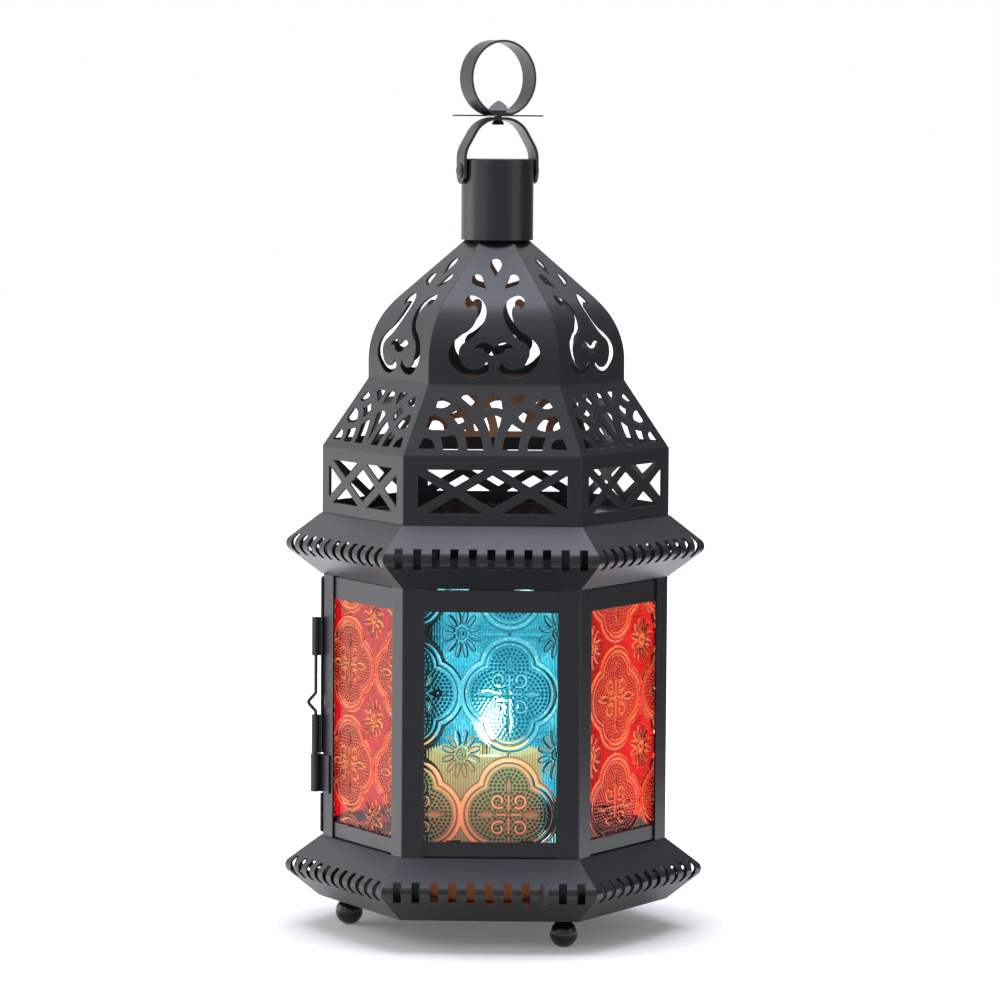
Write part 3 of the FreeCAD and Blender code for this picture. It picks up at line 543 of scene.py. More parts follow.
RED_GLASS = GlassFinish(
    name="red_figured_glass",
    crest_highlight=(0.58, 0.003, 0.006),
    tint=(0.48, 0.0004, 0.0018),
    hollow_glow=(0.95, 0.28, 0.1),
    steep_light_and_shade=(0.85, 0.12, 0.06),
    dot_shade=(0.12, 0.0, 0.001),
    fill_shade=(0.1, 0.0, 0.001),
    ior=1.25,
)
# Copy of the red glass for the pane that faces the key light: a darker ground with brighter painted orange
# glints on its beds and steep walls.
KEY_LIT_RED_GLASS = GlassFinish(
    name="key_lit_red_figured_glass",
    crest_highlight=(0.5, 0.002, 0.005),
    tint=(0.3, 0.0, 0.001),
    hollow_glow=(1.0, 0.42, 0.16),
    steep_light_and_shade=(1.0, 0.24, 0.1),
    dot_shade=(0.03, 0.0, 0.0),
    fill_shade=(0.03, 0.0, 0.0005),
    ior=1.25,
)
AMBER_GLASS = GlassFinish(
    name="amber_figured_glass",
    crest_highlight=(1.0, 0.62, 0.16),
    tint=(0.92, 0.36, 0.03),
    hollow_glow=(1.0, 0.55, 0.12),
    steep_light_and_shade=(0.4, 0.06, 0.001),
    dot_shade=(0.45, 0.08, 0.002),
    fill_shade=(0.75, 0.2, 0.01),
    ior=1.3,
)
IVORY_WAX = WaxFinish(
    name="ivory_wax",
    body=(0.6, 0.42, 0.22),
    low_mm=12.0,
    high_mm=62.0,
    glow=(
        (0.0, (0.016, 0.004, 0.001)),
        (0.24, (0.05, 0.012, 0.003)),
        (0.4, (0.36, 0.05, 0.02)),
        (0.6, (0.76, 0.095, 0.038)),
        (1.0, (1.0, 0.25, 0.09)),
    ),
    strength=2.9,
)
BURNT_WICK = WickFinish("burnt_wick", (0.012, 0.011, 0.01), (0.09, 0.08, 0.07))


@dataclass(frozen=True)
class FiguredPattern:
    """Repeating relief of pressed glass: quatrefoils with daisies between them.

    The drawing is in millimetres on one repeat of DRAWN_WIDTH by DRAWN_HEIGHT round a quatrefoil, and is
    stretched to the repeat that a pane shows. Lobes are given as centre and radius, bands as offsets from
    the quatrefoil's outline, leaves as start, tip and half width, and rises as shares of the relief.
    """

    repeat_across: float
    repeat_up: float
    centre_across: float
    centre_up: float

    DRAWN_WIDTH = 32.6
    DRAWN_HEIGHT = 41.2
    SIDE_LOBE = (4.6, 8.9)
    TALL_LOBE = (9.2, 6.9)
    INNER_BAND = (0.15, 1.5)
    OUTER_BAND = (1.55, 3.75)
    INNER_RISE, INNER_FULLNESS = 0.55, 4.0
    OUTER_RISE, OUTER_FULLNESS = 0.9, 2.0
    GROUND = 0.2
    BED = 0.1
    BED_MARGIN = 0.1
    BAND_LAP = 0.3
    MOTIF_EDGE = 0.02
    RIB_CLEARANCE = 0.05
    STUD = (0.7, 1.1)
    BOSS = (1.2, 1.8)
    BOSS_STEEPNESS, BOSS_RISE = 1.6, 0.8
    SIDE_LEAF = (4.4, 11.3, 1.5)
    TALL_LEAF = (6.6, 13.6, 1.05)
    LEAF_RISE, LEAF_FULLNESS, LEAST_LEAF_WIDTH = 0.8, 0.8, 1e-6
    DIMPLE_PLACE, DIMPLE_LENGTH, DIMPLE_WIDTH, DIMPLE_DEPTH = 10.0, 0.6, 0.55, 0.7
    STEM_HALF, STEM_RISE = 0.6, 0.5
    SIDE_STEM, TALL_STEM = 4.8, 7.0
    CURL_CENTRE = (3.6, 4.7)
    CURL_START = 2.3
    CURL_RADIUS, CURL_SHRINK, CURL_HALF, CURL_RISE = 2.6, 1.5, 0.62, 0.75
    DOT_PITCH = 1.35
    DOT_RADIUS = 0.47
    DOT_RISE = 0.55
    DOT_INSET = 0.75
    LAST_DOT_ROW, LEAST_DOT_ROW_RADIUS = 5.0, 0.6
    DAISY_SQUASH = 0.78
    PETAL_COUNT = 12
    PETAL_START, PETAL_LENGTH, PETAL_HALF, PETAL_RISE = 2.2, 4.3, 0.82, 0.7
    PETAL_WIDEST, PETAL_FULLNESS, LEAST_PETAL_WIDTH = 1.1, 3, 1e-3
    BEAD_RING, BEAD_AREA, BEAD_RISE = 1.45, 0.16, 0.5
    EYE_RADIUS, EYE_RISE = 0.8, 0.7
    SLOPE_STEP = 0.14

    def relief(self, across: np.ndarray, up: np.ndarray) -> dict[str, np.ndarray]:
        """Height of the relief at points of a pane.

        Args:
            across: Places across the pane, in millimetres.
            up: Heights above the feet, in millimetres.

        Returns:
            Heights from 0 to 1, and the shares of fine ribbing, stippling and leaves at each point.
        """
        wide, tall = self.DRAWN_WIDTH, self.DRAWN_HEIGHT
        x = (across - self.centre_across) / self.repeat_across
        y = (up - self.centre_up) / self.repeat_up
        x = np.abs(x - np.round(x)) * wide
        y = np.abs(y - np.round(y)) * tall
        side = np.hypot(x - self.SIDE_LOBE[0], y) - self.SIDE_LOBE[1]
        upright = np.hypot(x, y - self.TALL_LOBE[0]) - self.TALL_LOBE[1]
        outside = np.minimum(side, upright)
        ground = np.full_like(x, self.GROUND)
        ground[outside < self.INNER_BAND[0]] = self.BED
        bands = np.maximum(
            self.INNER_RISE * self._ridge(outside, *self.INNER_BAND, self.INNER_FULLNESS),
            self.OUTER_RISE * self._ridge(outside, *self.OUTER_BAND, self.OUTER_FULLNESS),
        )
        bed = outside < -self.BED_MARGIN
        leaves, scrolls = self._motif(x, y)
        motif = np.maximum(leaves, scrolls)
        dots = self._dots(x, y, side, upright) * (motif < self.MOTIF_EDGE) * bed
        daisy = self._daisy(wide / 2.0 - x, (tall / 2.0 - y) * self.DAISY_SQUASH)
        studs = np.maximum(
            self._diamond(wide / 2.0 - x, y, *self.STUD), self._diamond(x, tall / 2.0 - y, *self.STUD)
        )
        inside = np.maximum(motif, dots) * bed
        between = np.maximum(daisy, studs) * (outside > self.OUTER_BAND[1] - self.BAND_LAP)
        height = np.maximum.reduce([ground, bands, self.BED + inside, self.GROUND + between])
        ribs = ((outside > self.OUTER_BAND[1]) & (between < self.RIB_CLEARANCE)).astype(float)
        fills = np.maximum(leaves * (leaves > scrolls), between)
        return {"relief": np.clip(height, 0.0, 1.0), "ribs": ribs, "dots": dots, "fills": fills}

    def slope(self, across: np.ndarray, up: np.ndarray) -> np.ndarray:
        """Steepness of the relief at points of a pane.

        Args:
            across: Places across the pane, in millimetres.
            up: Heights above the feet, in millimetres.

        Returns:
            Rise of the relief, from 0 to 1, per millimetre.
        """
        step = self.SLOPE_STEP
        rise = self.relief(across + step, up)["relief"] - self.relief(across - step, up)["relief"]
        climb = self.relief(across, up + step)["relief"] - self.relief(across, up - step)["relief"]
        return np.hypot(rise, climb) / (2.0 * step)

    @staticmethod
    def _ridge(place: np.ndarray, low: float, high: float, fullness: float) -> np.ndarray:
        """Rounded band between two offsets of the outline.

        Args:
            place: Offset from the outline.
            low: Where the band starts.
            high: Where the band ends.
            fullness: 2 for a half round, more for a flatter crown.

        Returns:
            Heights from 0 to 1.
        """
        share = np.abs(2.0 * (place - low) / (high - low) - 1.0)
        return np.sqrt(np.clip(1.0 - share**fullness, 0.0, 1.0))

    def _diamond(self, x: np.ndarray, y: np.ndarray, half_wide: float, half_tall: float) -> np.ndarray:
        """Small pointed boss.

        Args:
            x: Places across from its middle.
            y: Places up from its middle.
            half_wide: Half its width.
            half_tall: Half its height.

        Returns:
            Heights from 0 to BOSS_RISE.
        """
        inward = 1.0 - np.abs(x) / half_wide - np.abs(y) / half_tall
        return np.clip(self.BOSS_STEEPNESS * inward, 0.0, self.BOSS_RISE)

    def _leaf(
        self, along: np.ndarray, aside: np.ndarray, start: float, end: float, half: float
    ) -> np.ndarray:
        """Pointed leaf along an axis.

        Args:
            along: Places along the leaf.
            aside: Places across it.
            start: Where it starts.
            end: Where its tip is.
            half: Half its greatest width.

        Returns:
            Heights from 0 to 1.
        """
        share = np.clip((along - start) / (end - start), 0.0, 1.0)
        width = half * np.sin(np.pi * share**self.LEAF_FULLNESS) + self.LEAST_LEAF_WIDTH
        return np.sqrt(np.clip(1.0 - (aside / width) ** 2, 0.0, 1.0)) * (share > 0.0) * (share < 1.0)

    def _motif(self, x: np.ndarray, y: np.ndarray) -> tuple[np.ndarray, np.ndarray]:
        """Cross of leaves and scrolls in the middle of a quatrefoil, in its first quarter.

        Args:
            x: Places across from the middle.
            y: Places up from the middle.

        Returns:
            Heights of the leaves, and of the scrolls and stems.
        """
        side_leaf = self._leaf(x, y, *self.SIDE_LEAF)
        dimple = ((x - self.DIMPLE_PLACE) / self.DIMPLE_LENGTH) ** 2 + (y / self.DIMPLE_WIDTH) ** 2
        side_leaf *= 1.0 - self.DIMPLE_DEPTH * np.exp(-dimple)
        tall_leaf = self._leaf(y, x, *self.TALL_LEAF)
        side_stem = np.clip(1.0 - (y / self.STEM_HALF) ** 2, 0.0, 1.0) * (x < self.SIDE_STEM)
        tall_stem = np.clip(1.0 - (x / self.STEM_HALF) ** 2, 0.0, 1.0) * (y < self.TALL_STEM)
        curl_x, curl_y = x - self.CURL_CENTRE[0], y - self.CURL_CENTRE[1]
        turn = (np.arctan2(curl_y, curl_x) + self.CURL_START) % (2.0 * np.pi)
        curl = self.CURL_RADIUS - self.CURL_SHRINK * turn / (2.0 * np.pi)
        off_curl = (np.hypot(curl_x, curl_y) - curl) / self.CURL_HALF
        scroll = np.sqrt(np.clip(1.0 - off_curl**2, 0.0, 1.0))
        boss = self._diamond(x, y, *self.BOSS)
        leaves = np.maximum.reduce([self.LEAF_RISE * side_leaf, self.LEAF_RISE * tall_leaf, boss])
        stems = self.STEM_RISE * np.maximum(side_stem, tall_stem)
        return leaves, np.maximum(stems, self.CURL_RISE * scroll)

    def _dots(self, x: np.ndarray, y: np.ndarray, side: np.ndarray, upright: np.ndarray) -> np.ndarray:
        """Stippled rows that follow the lobes.

        Args:
            x: Places across from the middle.
            y: Places up from the middle.
            side: Offset from the side lobe.
            upright: Offset from the upper lobe.

        Returns:
            Heights from 0 to DOT_RISE.
        """
        heights = np.zeros_like(x)
        lobes = (
            (self.SIDE_LOBE[0], 0.0, self.SIDE_LOBE[1], side <= upright),
            (0.0, self.TALL_LOBE[0], self.TALL_LOBE[1], upright < side),
        )
        for centre_x, centre_y, radius, nearest in lobes:
            out = np.hypot(x - centre_x, y - centre_y)
            angle = np.arctan2(y - centre_y, x - centre_x)
            first = radius - self.DOT_INSET
            row = np.clip(np.round((first - out) / self.DOT_PITCH), 0.0, self.LAST_DOT_ROW)
            row_radius = np.maximum(first - row * self.DOT_PITCH, self.LEAST_DOT_ROW_RADIUS)
            step = 2.0 * np.pi / np.floor(2.0 * np.pi * row_radius / self.DOT_PITCH)
            aside = (angle / step - np.floor(angle / step) - 0.5) * step * row_radius
            near = np.hypot(out - row_radius, aside) / self.DOT_RADIUS
            dome = self.DOT_RISE * np.sqrt(np.clip(1.0 - near**2, 0.0, 1.0))
            heights = np.where(nearest, dome, heights)
        return heights

    def _daisy(self, x: np.ndarray, y: np.ndarray) -> np.ndarray:
        """Flower with a beaded eye.

        Args:
            x: Places across from its middle.
            y: Places up from its middle.

        Returns:
            Heights from 0 to PETAL_RISE.
        """
        out = np.hypot(x, y)
        step = 2.0 * np.pi / self.PETAL_COUNT
        angle = np.arctan2(y, x)
        aside = out * np.sin((angle / step - np.floor(angle / step) - 0.5) * step)
        share = np.clip((out - self.PETAL_START) / self.PETAL_LENGTH, 0.0, 1.0)
        swell = np.sqrt(np.clip(1.0 - (2.0 * share - self.PETAL_WIDEST) ** 2, 0.0, 1.0))
        edge = np.abs(aside) / (self.PETAL_HALF * swell + self.LEAST_PETAL_WIDTH)
        crown = np.sqrt(np.clip(1.0 - edge**self.PETAL_FULLNESS, 0.0, 1.0))
        petals = self.PETAL_RISE * crown * (share > 0.0) * (share < 1.0)
        off_bead = ((out - self.BEAD_RING) ** 2 + aside**2) / self.BEAD_AREA
        beads = self.BEAD_RISE * np.clip(1.0 - off_bead, 0.0, 1.0)
        eye = self.EYE_RISE * np.clip(1.0 - (out / self.EYE_RADIUS) ** 2, 0.0, 1.0)
        return np.maximum.reduce([petals, beads, eye])


@dataclass(frozen=True)
class PanePlan:
    """Where one pane sits, in degrees and millimetres, and what it shows."""

    node: str
    angle: int
    slot: str
    finish: GlassFinish
    pattern: FiguredPattern
    body: str = "body"
    flat: float = 51.021
    half: float = 25.25


class Pane(Enum):
    """The six panes, each named after the face that it fills."""

    FRONT = PanePlan("pane_front", 270, "blue_glass", BLUE_GLASS, FiguredPattern(32.6, 41.2, 6.2, 46.3))
    FRONT_LEFT = PanePlan(
        "pane_front_left", 210, "red_glass", KEY_LIT_RED_GLASS, FiguredPattern(35.6, 34.5, -11.7, 93.3)
    )
    FRONT_RIGHT = PanePlan(
        "pane_front_right", 330, "red_glass", RED_GLASS, FiguredPattern(35.0, 37.2, -2.7, 46.6)
    )
    BACK = PanePlan("pane_back", 90, "blue_glass", BLUE_GLASS, FiguredPattern(36.0, 37.0, -6.0, 60.0))
    BACK_RIGHT = PanePlan(
        "pane_back_right", 30, "amber_glass", AMBER_GLASS, FiguredPattern(36.0, 37.0, 8.0, 52.0)
    )
    DOOR = PanePlan(
        "door_pane",
        150,
        "amber_glass",
        AMBER_GLASS,
        FiguredPattern(36.0, 37.0, 2.0, 70.0),
        body="door",
        flat=51.621,
        half=24.65,
    )


def only(piece: bpy.types.Object | None) -> None:
    """Deselect everything, then select and activate one piece.

    Args:
        piece: Piece to work on, or None for nothing.
    """
    bpy.ops.object.select_all(action="DESELECT")
    if piece is not None:
        piece.select_set(True)
        bpy.context.view_layer.objects.active = piece


@dataclass
class FiguredGlass:
    """Six glass panes with their pressed relief, in millimetres."""

    thickness: float = 2.0
    relief_depth: float = 0.55
    cell: float = 0.235
    border: float = 1.2
    border_height: float = 0.45
    smooth_degrees: float = 80.0
    materials: dict[str, bpy.types.Material] = field(default_factory=dict)

    def build(self) -> list[bpy.types.Object]:
        """Model and dress every pane.

        Returns:
            The panes.
        """
        return [self._pane(pane.value) for pane in Pane]

    def _pane(self, plan: PanePlan) -> bpy.types.Object:
        """Model one pane in the place of its CAD plate.

        Args:
            plan: Which pane.

        Returns:
            The dressed pane.
        """
        low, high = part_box(plan.node)
        turn = Matrix.Rotation(math.radians(plan.angle), 3, "Z")
        bottom, top = low.z / MM, high.z / MM
        columns = int(2.0 * plan.half / self.cell)
        rows = int((top - bottom) / self.cell)
        only(None)
        bpy.ops.mesh.primitive_grid_add(x_subdivisions=columns, y_subdivisions=rows, size=1.0)
        piece = bpy.context.object
        piece.name = "figured_" + plan.node
        mesh = piece.data
        flat_places = np.empty(len(mesh.vertices) * 3)
        mesh.vertices.foreach_get("co", flat_places)
        grid = flat_places.reshape(-1, 3)
        across = grid[:, 0] * 2.0 * plan.half
        up = (grid[:, 1] + 0.5) * (top - bottom) + bottom
        edge = np.minimum(plan.half - np.abs(across), np.minimum(up - bottom, top - up))
        shares = self._shares(plan.pattern, across, up, np.clip(edge / self.border, 0.0, 1.0))
        out = plan.flat - self.relief_depth * (1.0 - shares["relief"])
        places = np.stack([out, across, up], axis=1) * MM @ np.array(turn.transposed())
        mesh.vertices.foreach_set("co", places.ravel())
        for name, values in shares.items():
            self._store(mesh, name, values)
        mesh.update()
        depth = self.thickness - self.relief_depth * (1.0 - self.border_height)
        self._close_back(piece, turn @ Vector((-depth * MM, 0.0, 0.0)))
        self._store(mesh, "back", np.arange(len(mesh.vertices)) >= len(across))
        mesh.materials.append(self._material(plan.finish))
        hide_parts(plan.node)
        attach(piece, plan.body)
        log.info("%s: %d faces", piece.name, len(mesh.polygons))
        return piece

    def _shares(
        self, pattern: FiguredPattern, across: np.ndarray, up: np.ndarray, fade: np.ndarray
    ) -> dict[str, np.ndarray]:
        """Work out what the glass reads from each point.

        Args:
            pattern: Pattern of the pane.
            across: Places across the pane, in millimetres.
            up: Heights above the feet, in millimetres.
            fade: Share of the pattern at each point, 0 on the pane's border.

        Returns:
            Values of each attribute by name.
        """
        shares = {name: values * fade for name, values in pattern.relief(across, up).items()}
        shares["relief"] += self.border_height * (1.0 - fade)
        shares["slope"] = pattern.slope(across, up) * fade
        shares["across"] = across
        return shares

    @staticmethod
    def _store(mesh: bpy.types.Mesh, name: str, values: np.ndarray) -> None:
        """Keep one number per point on a mesh.

        Args:
            mesh: Mesh of a pane.
            name: Name of the attribute.
            values: One value per point.
        """
        attribute = mesh.attributes.new(name, "FLOAT", "POINT")
        attribute.data.foreach_set("value", values.astype(np.float32))

    def _close_back(self, piece: bpy.types.Object, inward: Vector) -> None:
        """Give the relief its edges and its flat back.

        Args:
            piece: Open relief sheet.
            inward: Way from the border of the relief to the back.
        """
        only(piece)
        bpy.ops.object.mode_set(mode="EDIT")
        bpy.ops.mesh.select_mode(type="EDGE")
        bpy.ops.mesh.select_all(action="DESELECT")
        bpy.ops.mesh.select_non_manifold(extend=False)
        bpy.ops.mesh.extrude_edges_move(TRANSFORM_OT_translate={"value": inward})
        bpy.ops.mesh.edge_face_add()
        bpy.ops.mesh.select_all(action="SELECT")
        bpy.ops.mesh.normals_make_consistent(inside=False)
        bpy.ops.object.mode_set(mode="OBJECT")
        bpy.ops.object.shade_smooth_by_angle(angle=math.radians(self.smooth_degrees))

    def _material(self, finish: GlassFinish) -> bpy.types.Material:
        """Glass of one colour, made once.

        Args:
            finish: Colour of glass.

        Returns:
            The material.
        """
        if finish.name not in self.materials:
            self.materials[finish.name] = finish.material()
        return self.materials[finish.name]


@dataclass
class BurningCandle:
    """Wax, wick, flame and the light they give, in millimetres."""

    shift: float = -2.0
    flame_low: float = 64.5
    flame_high: float = 80.5
    flame_radius: float = 3.7
    flame_lean: float = 3.0
    flame_strength: float = 30.0
    tip_fullness: tuple[float, float] = (1.6, 0.55)
    root_width: float = 0.55
    root_swell: float = 0.75
    root_rate: float = 3.0
    pole_fullness: float = 0.35
    light_watts: float = 0.07
    light_radius: float = 3.0
    light_colour: Colour = (1.0, 0.55, 0.22)

    def build(self) -> bpy.types.Object:
        """Dress the candle and light it.

        Returns:
            The flame.
        """
        frame["nodes"]["candle_wax"].material_slots[0].material = IVORY_WAX.material()
        frame["nodes"]["candle_wick"].material_slots[0].material = BURNT_WICK.material()
        flame = self._flame()
        only(None)
        place = (self.shift * MM, 0.0, (self.flame_low + self.flame_high) / 2.0 * MM)
        bpy.ops.object.light_add(type="POINT", location=place)
        lamp = bpy.context.object
        lamp.name = "candle_light"
        lamp.data.energy = self.light_watts
        lamp.data.color = self.light_colour
        lamp.data.shadow_soft_size = self.light_radius * MM
        return flame

    def _flame(self) -> bpy.types.Object:
        """Model the flame as a drop drawn out to a tip.

        Returns:
            The flame.
        """
        only(None)
        bpy.ops.mesh.primitive_uv_sphere_add(segments=32, ring_count=24, radius=1.0)
        piece = bpy.context.object
        piece.name = "flame"
        inner, outer = self.tip_fullness
        for vertex in piece.data.vertices:
            share = (vertex.co.z + 1.0) / 2.0
            root = self.root_width + self.root_swell * min(1.0, self.root_rate * share)
            waist = self.flame_radius * (1.0 - share**inner) ** outer * root
            around = math.hypot(vertex.co.x, vertex.co.y) or 1.0
            ring = math.sqrt(max(0.0, 1.0 - vertex.co.z**2)) ** self.pole_fullness * waist
            lean = self.flame_lean * share * share
            vertex.co = Vector((
                (self.shift + vertex.co.x / around * ring + lean) * MM,
                vertex.co.y / around * ring * MM,
                (self.flame_low + share * (self.flame_high - self.flame_low)) * MM,
            ))
        only(piece)
        bpy.ops.object.shade_smooth()
        finish = FlameFinish("candle_flame", self.flame_low, self.flame_high, self.flame_strength)
        piece.data.materials.append(finish.material())
        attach(piece, "candle")
        log.info("flame: %d faces", len(piece.data.polygons))
        return piece


@dataclass
class MetalWork:
    """The painted CAD nodes."""

    feet: tuple[str, ...] = ("ball_foot_left", "ball_foot_front_right", "ball_foot_back_right")
    hardware: tuple[str, ...] = (
        "bail", "bail_rivets", "rosette", "hanging_ring", "swivel_rivet", "latch_bolt", "latch_keeper",
        "lower_latch_guide", "upper_latch_guide", "frame_hinge_leaves", "door_hinge_leaves", "hinge_pins",
        "foot_rivets",
    )

    def dress(self) -> bpy.types.Material:
        """Paint every metal node.

        Returns:
            The paint of the sheet metal.
        """
        sheet, ball, wire = SATIN_BLACK.material(), GLOSS_BLACK.material(), WIRE_BLACK.material()
        for part in frame["record"]["subparts"]:
            node = part["node"]
            if part["material_slot"] != "black_paint":
                continue
            paint = ball if node in self.feet else wire if node in self.hardware else sheet
            frame["nodes"][node].material_slots[0].material = paint
            log.info("%s: %s", node, paint.name)
        return sheet


@dataclass
class GapShadeStrips:
    """Narrow dark strips inside the rails that close the gaps to the skirts so that they show dark, a
    painted shade, in millimetres.
    """

    faces: tuple[int, ...] = (270, 210, 330, 30, 90)
    front: int = 270
    flat: float = 51.021
    sheet: float = 0.5
    edge: float = 0.12
    edge_segments: int = 2
    half: float = 27.5
    top_levels: tuple[float, float] = (121.2, 124.0)
    foot_levels: tuple[float, float] = (30.4, 33.4)
    open_runs: tuple[tuple[float, float], ...] = ((-18.5, -7.7), (7.7, 14.1))

    def build(self, paint: bpy.types.Material) -> bpy.types.Object:
        """Model the dark strips as one piece.

        Args:
            paint: Paint of the sheet metal.

        Returns:
            The piece.
        """
        strips = []
        for angle in self.faces:
            strips.append(self._strip(angle, -self.half, self.half, self.foot_levels))
            edges = [-self.half, self.half]
            if angle == self.front:
                edges[1:1] = [end for run in self.open_runs for end in run]
            for start, end in zip(edges[::2], edges[1::2]):
                strips.append(self._strip(angle, start, end, self.top_levels))
        bpy.ops.object.select_all(action="DESELECT")
        for strip in strips:
            strip.select_set(True)
        bpy.context.view_layer.objects.active = strips[0]
        bpy.ops.object.join()
        piece = bpy.context.object
        piece.name = "gap_shade_strips"
        bpy.ops.object.mode_set(mode="EDIT")
        bpy.ops.mesh.select_all(action="SELECT")
        bpy.ops.mesh.bevel(offset=self.edge * MM, segments=self.edge_segments, affect="EDGES")
        bpy.ops.object.mode_set(mode="OBJECT")
        piece.data.materials.append(paint)
        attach(piece, "body")
        log.info("gap_shade_strips: %d strips", len(strips))
        return piece

    def _strip(self, angle: int, start: float, end: float, levels: tuple[float, float]) -> bpy.types.Object:
        """One straight strip against the inside of a rail.

        Args:
            angle: Direction of the face, in degrees.
            start: Where it starts across the face.
            end: Where it ends.
            levels: Its lowest and highest level.

        Returns:
            The strip.
        """
        turn = Matrix.Rotation(math.radians(angle), 3, "Z")
        middle = Vector((self.flat - self.sheet / 2.0, (start + end) / 2.0, sum(levels) / 2.0)) * MM
        only(None)
        bpy.ops.mesh.primitive_cube_add(
            size=1.0,
            location=turn @ middle,
            rotation=(0.0, 0.0, math.radians(angle)),
            scale=(self.sheet * MM, (end - start) * MM, (levels[1] - levels[0]) * MM),
        )
        strip = bpy.context.object
        bpy.ops.object.transform_apply(location=True, rotation=True, scale=True)
        return strip


@dataclass(frozen=True)
class Softbox:
    """A rectangular lamp that looks at the lantern."""

    name: str
    place: tuple[float, float, float]
    size: tuple[float, float]
    watts: float
    colour: Colour = (1.0, 1.0, 1.0)


@dataclass(frozen=True)
class Flag:
    """A grey card beside the set that shows only in reflections, upright or lying on the floor."""

    name: str
    place: tuple[float, float, float]
    size: tuple[float, float]
    grey: float
    upright: bool = True


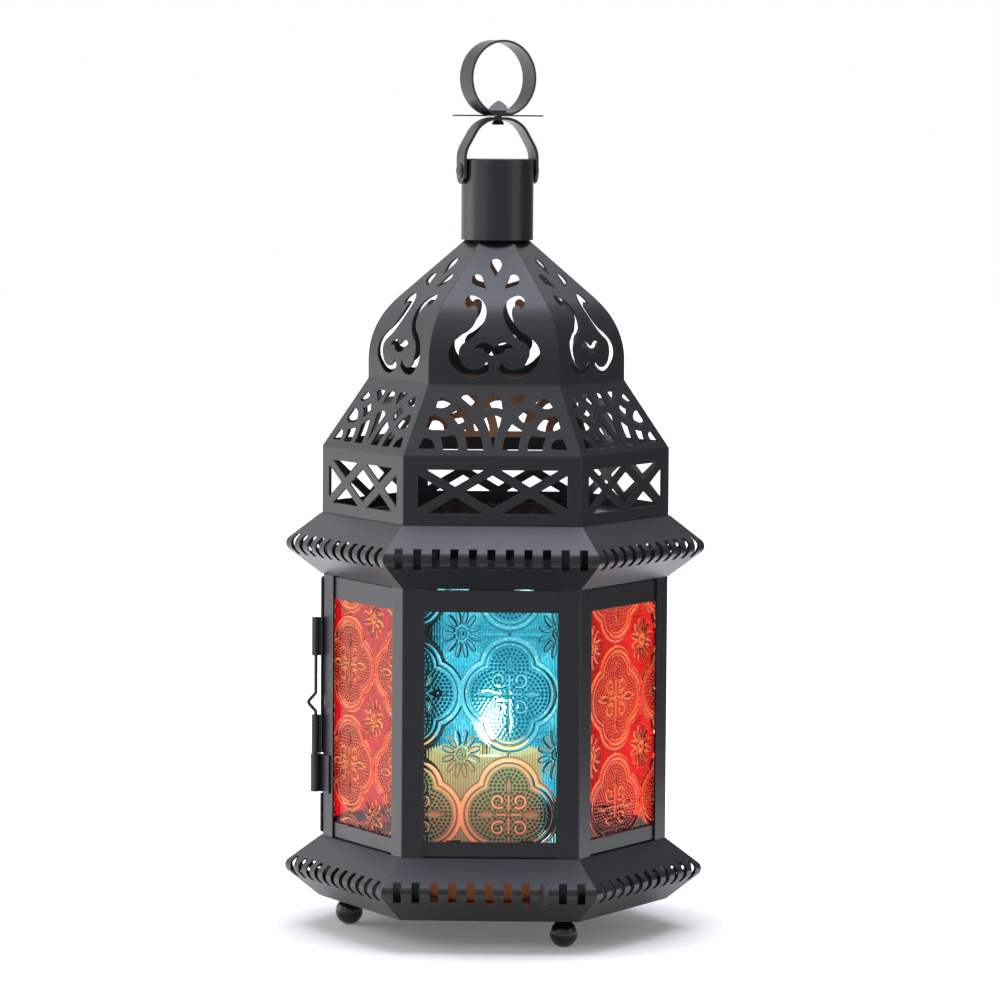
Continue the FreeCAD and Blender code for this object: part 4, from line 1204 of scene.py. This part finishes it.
@dataclass
class Studio:
    """White floor and surroundings, lamps and camera, in metres."""

    ambient: float = 0.4
    floor_half: float = 6.0
    floor_albedo: float = 0.85
    # Glow of the floor near the lantern and far from it, and the distances over which it changes: weaker
    # near the lantern, a painted shade.
    floor_glow_and_painted_shade: tuple[float, float] = (0.12, 1.0)
    painted_shade_reach: tuple[float, float] = (0.06, 0.125)
    look_height: float = 0.14
    yaw: float = 0.0185
    pitch: float = 0.0782
    roll: float = 0.0068
    eye: tuple[float, float, float] = (0.0016, -1.68333, 0.28141)
    lens: float = 174.45
    sensor: float = 36.0
    sight: float = 50.0
    lamps: tuple[Softbox, ...] = (
        Softbox("left_softbox", (-1.55, 0.15, 0.7), (1.0, 1.4), 8.0),
        Softbox("front_softbox", (-0.9, -1.6, 1.3), (0.9, 0.9), 7.0),
        Softbox("top_softbox", (0.0, 0.1, 1.5), (1.3, 1.1), 16.0, (0.8, 0.83, 1.0)),
    )
    flags: tuple[Flag, ...] = (
        Flag("right_flag", (0.62, 0.34, 0.33), (1.1, 0.66), 0.22),
        Flag("front_flag", (0.05, -0.55, 0.35), (0.9, 0.7), 0.65),
        Flag("front_mat", (0.0, -0.34, 0.0005), (0.34, 0.44), 0.6, False),
        Flag("right_mat", (0.44, 0.24, 0.0005), (0.8, 0.36), 0.22, False),
    )

    def build(self) -> None:
        """Set up the surroundings."""
        self._world()
        self._floor()
        for lamp in self.lamps:
            self._lamp(lamp)
        for flag in self.flags:
            self._flag(flag)
        self._camera()
        bpy.context.scene.view_settings.view_transform = "Standard"

    @staticmethod
    def _shown(shader: Shader) -> Varying:
        """1 for rays that show the background itself, straight, mirrored or through glass.

        Args:
            shader: Shader that asks.

        Returns:
            The share.
        """
        straight = shader.node("ShaderNodeLightPath", output="Is Camera Ray")
        mirrored = shader.node("ShaderNodeLightPath", output="Is Glossy Ray")
        through = shader.node("ShaderNodeLightPath", output="Is Transmission Ray")
        return straight.larger(mirrored).larger(through)

    def _world(self) -> None:
        """White surroundings that light the lantern at a plain level."""
        world = bpy.data.worlds.new("white_surroundings")
        bpy.context.scene.world = world
        shader = Shader(world)
        shown = self._shown(shader)
        strength = self.ambient + shown * (1.0 - self.ambient)
        white = {"Color": (1.0, 1.0, 1.0, 1.0), "Strength": strength}
        shader.finish(shader.node("ShaderNodeBackground", {}, white), "ShaderNodeOutputWorld")

    def _floor(self) -> None:
        """White floor that keeps the lantern's shadow, with a glow that is weaker near the lantern: painted
        shade round its foot.
        """
        only(None)
        bpy.ops.mesh.primitive_plane_add(size=2.0 * self.floor_half)
        floor = bpy.context.object
        floor.name = "floor"
        material = bpy.data.materials.new("white_floor")
        shader = Shader(material)
        grey = (self.floor_albedo, self.floor_albedo, self.floor_albedo, 1.0)
        matt = shader.node("ShaderNodeBsdfDiffuse", {}, {"Color": grey})
        place = shader.node("ShaderNodeTexCoord", output="Object")
        away = shader.node("ShaderNodeVectorMath", {"operation": "LENGTH"}, {0: place}, "Value")
        # Glow for shown rays, weaker close to the middle: painted shade round the lantern, an even white
        # further out.
        glow_and_painted_shade = shader.between(away, *self.painted_shade_reach, *self.floor_glow_and_painted_shade) * self._shown(shader)
        white = shader.node("ShaderNodeEmission", {}, {"Color": (1.0, 1.0, 1.0, 1.0), "Strength": glow_and_painted_shade})
        shader.finish(shader.node("ShaderNodeAddShader", {}, {0: matt, 1: white}))
        floor.data.materials.append(material)

    def _lamp(self, softbox: Softbox) -> None:
        """Hang one softbox and turn it to the lantern.

        Args:
            softbox: Its place, size and power.
        """
        only(None)
        way = Vector((0.0, 0.0, self.look_height)) - Vector(softbox.place)
        bpy.ops.object.light_add(
            type="AREA", location=softbox.place, rotation=way.to_track_quat("-Z", "Y").to_euler()
        )
        lamp = bpy.context.object
        lamp.name = softbox.name
        lamp.data.shape = "RECTANGLE"
        lamp.data.size, lamp.data.size_y = softbox.size
        lamp.data.energy = softbox.watts
        lamp.data.color = softbox.colour

    def _flag(self, flag: Flag) -> None:
        """Put up one grey card, turned to the lantern.

        Args:
            flag: Its place, size and grey.
        """
        only(None)
        facing = math.atan2(-flag.place[1], -flag.place[0])
        tilt = math.pi / 2.0 if flag.upright else 0.0
        bpy.ops.mesh.primitive_plane_add(
            size=1.0, location=flag.place, rotation=(tilt, 0.0, facing + math.pi / 2.0)
        )
        card = bpy.context.object
        card.name = flag.name
        card.scale = (*flag.size, 1.0)
        bpy.ops.object.transform_apply(location=True, rotation=True, scale=True)
        material = bpy.data.materials.new(flag.name)
        shader = Shader(material)
        grey = rgba((flag.grey, flag.grey, flag.grey))
        shader.finish(shader.node("ShaderNodeBsdfDiffuse", {}, {"Color": grey}))
        card.data.materials.append(material)
        for rays in ("camera", "diffuse", "transmission", "shadow"):
            setattr(card, "visible_" + rays, False)

    def _camera(self) -> None:
        """Camera at the photograph's place and angle."""
        only(None)
        bpy.ops.object.camera_add()
        camera = bpy.context.object
        around = Matrix.Rotation(self.yaw, 4, "Z")
        tilt = Matrix.Rotation(math.pi / 2.0 - self.pitch, 4, "X") @ Matrix.Rotation(self.roll, 4, "Z")
        camera.matrix_world = around @ Matrix.Translation(self.eye) @ tilt
        camera.data.sensor_fit = "HORIZONTAL"
        camera.data.sensor_width = self.sensor
        camera.data.lens = self.lens
        camera.data.clip_end = self.sight
        bpy.context.scene.camera = camera


def main() -> None:
    """Build the lantern's looks in order and report each piece."""
    logging.basicConfig(level=logging.INFO, format="%(message)s")
    paint = MetalWork().dress()
    # Dark strips in the rail gaps: painted shade.
    GapShadeStrips().build(paint)
    FiguredGlass().build()
    BurningCandle().build()
    Studio().build()


if __name__ == "__main__":
    main()
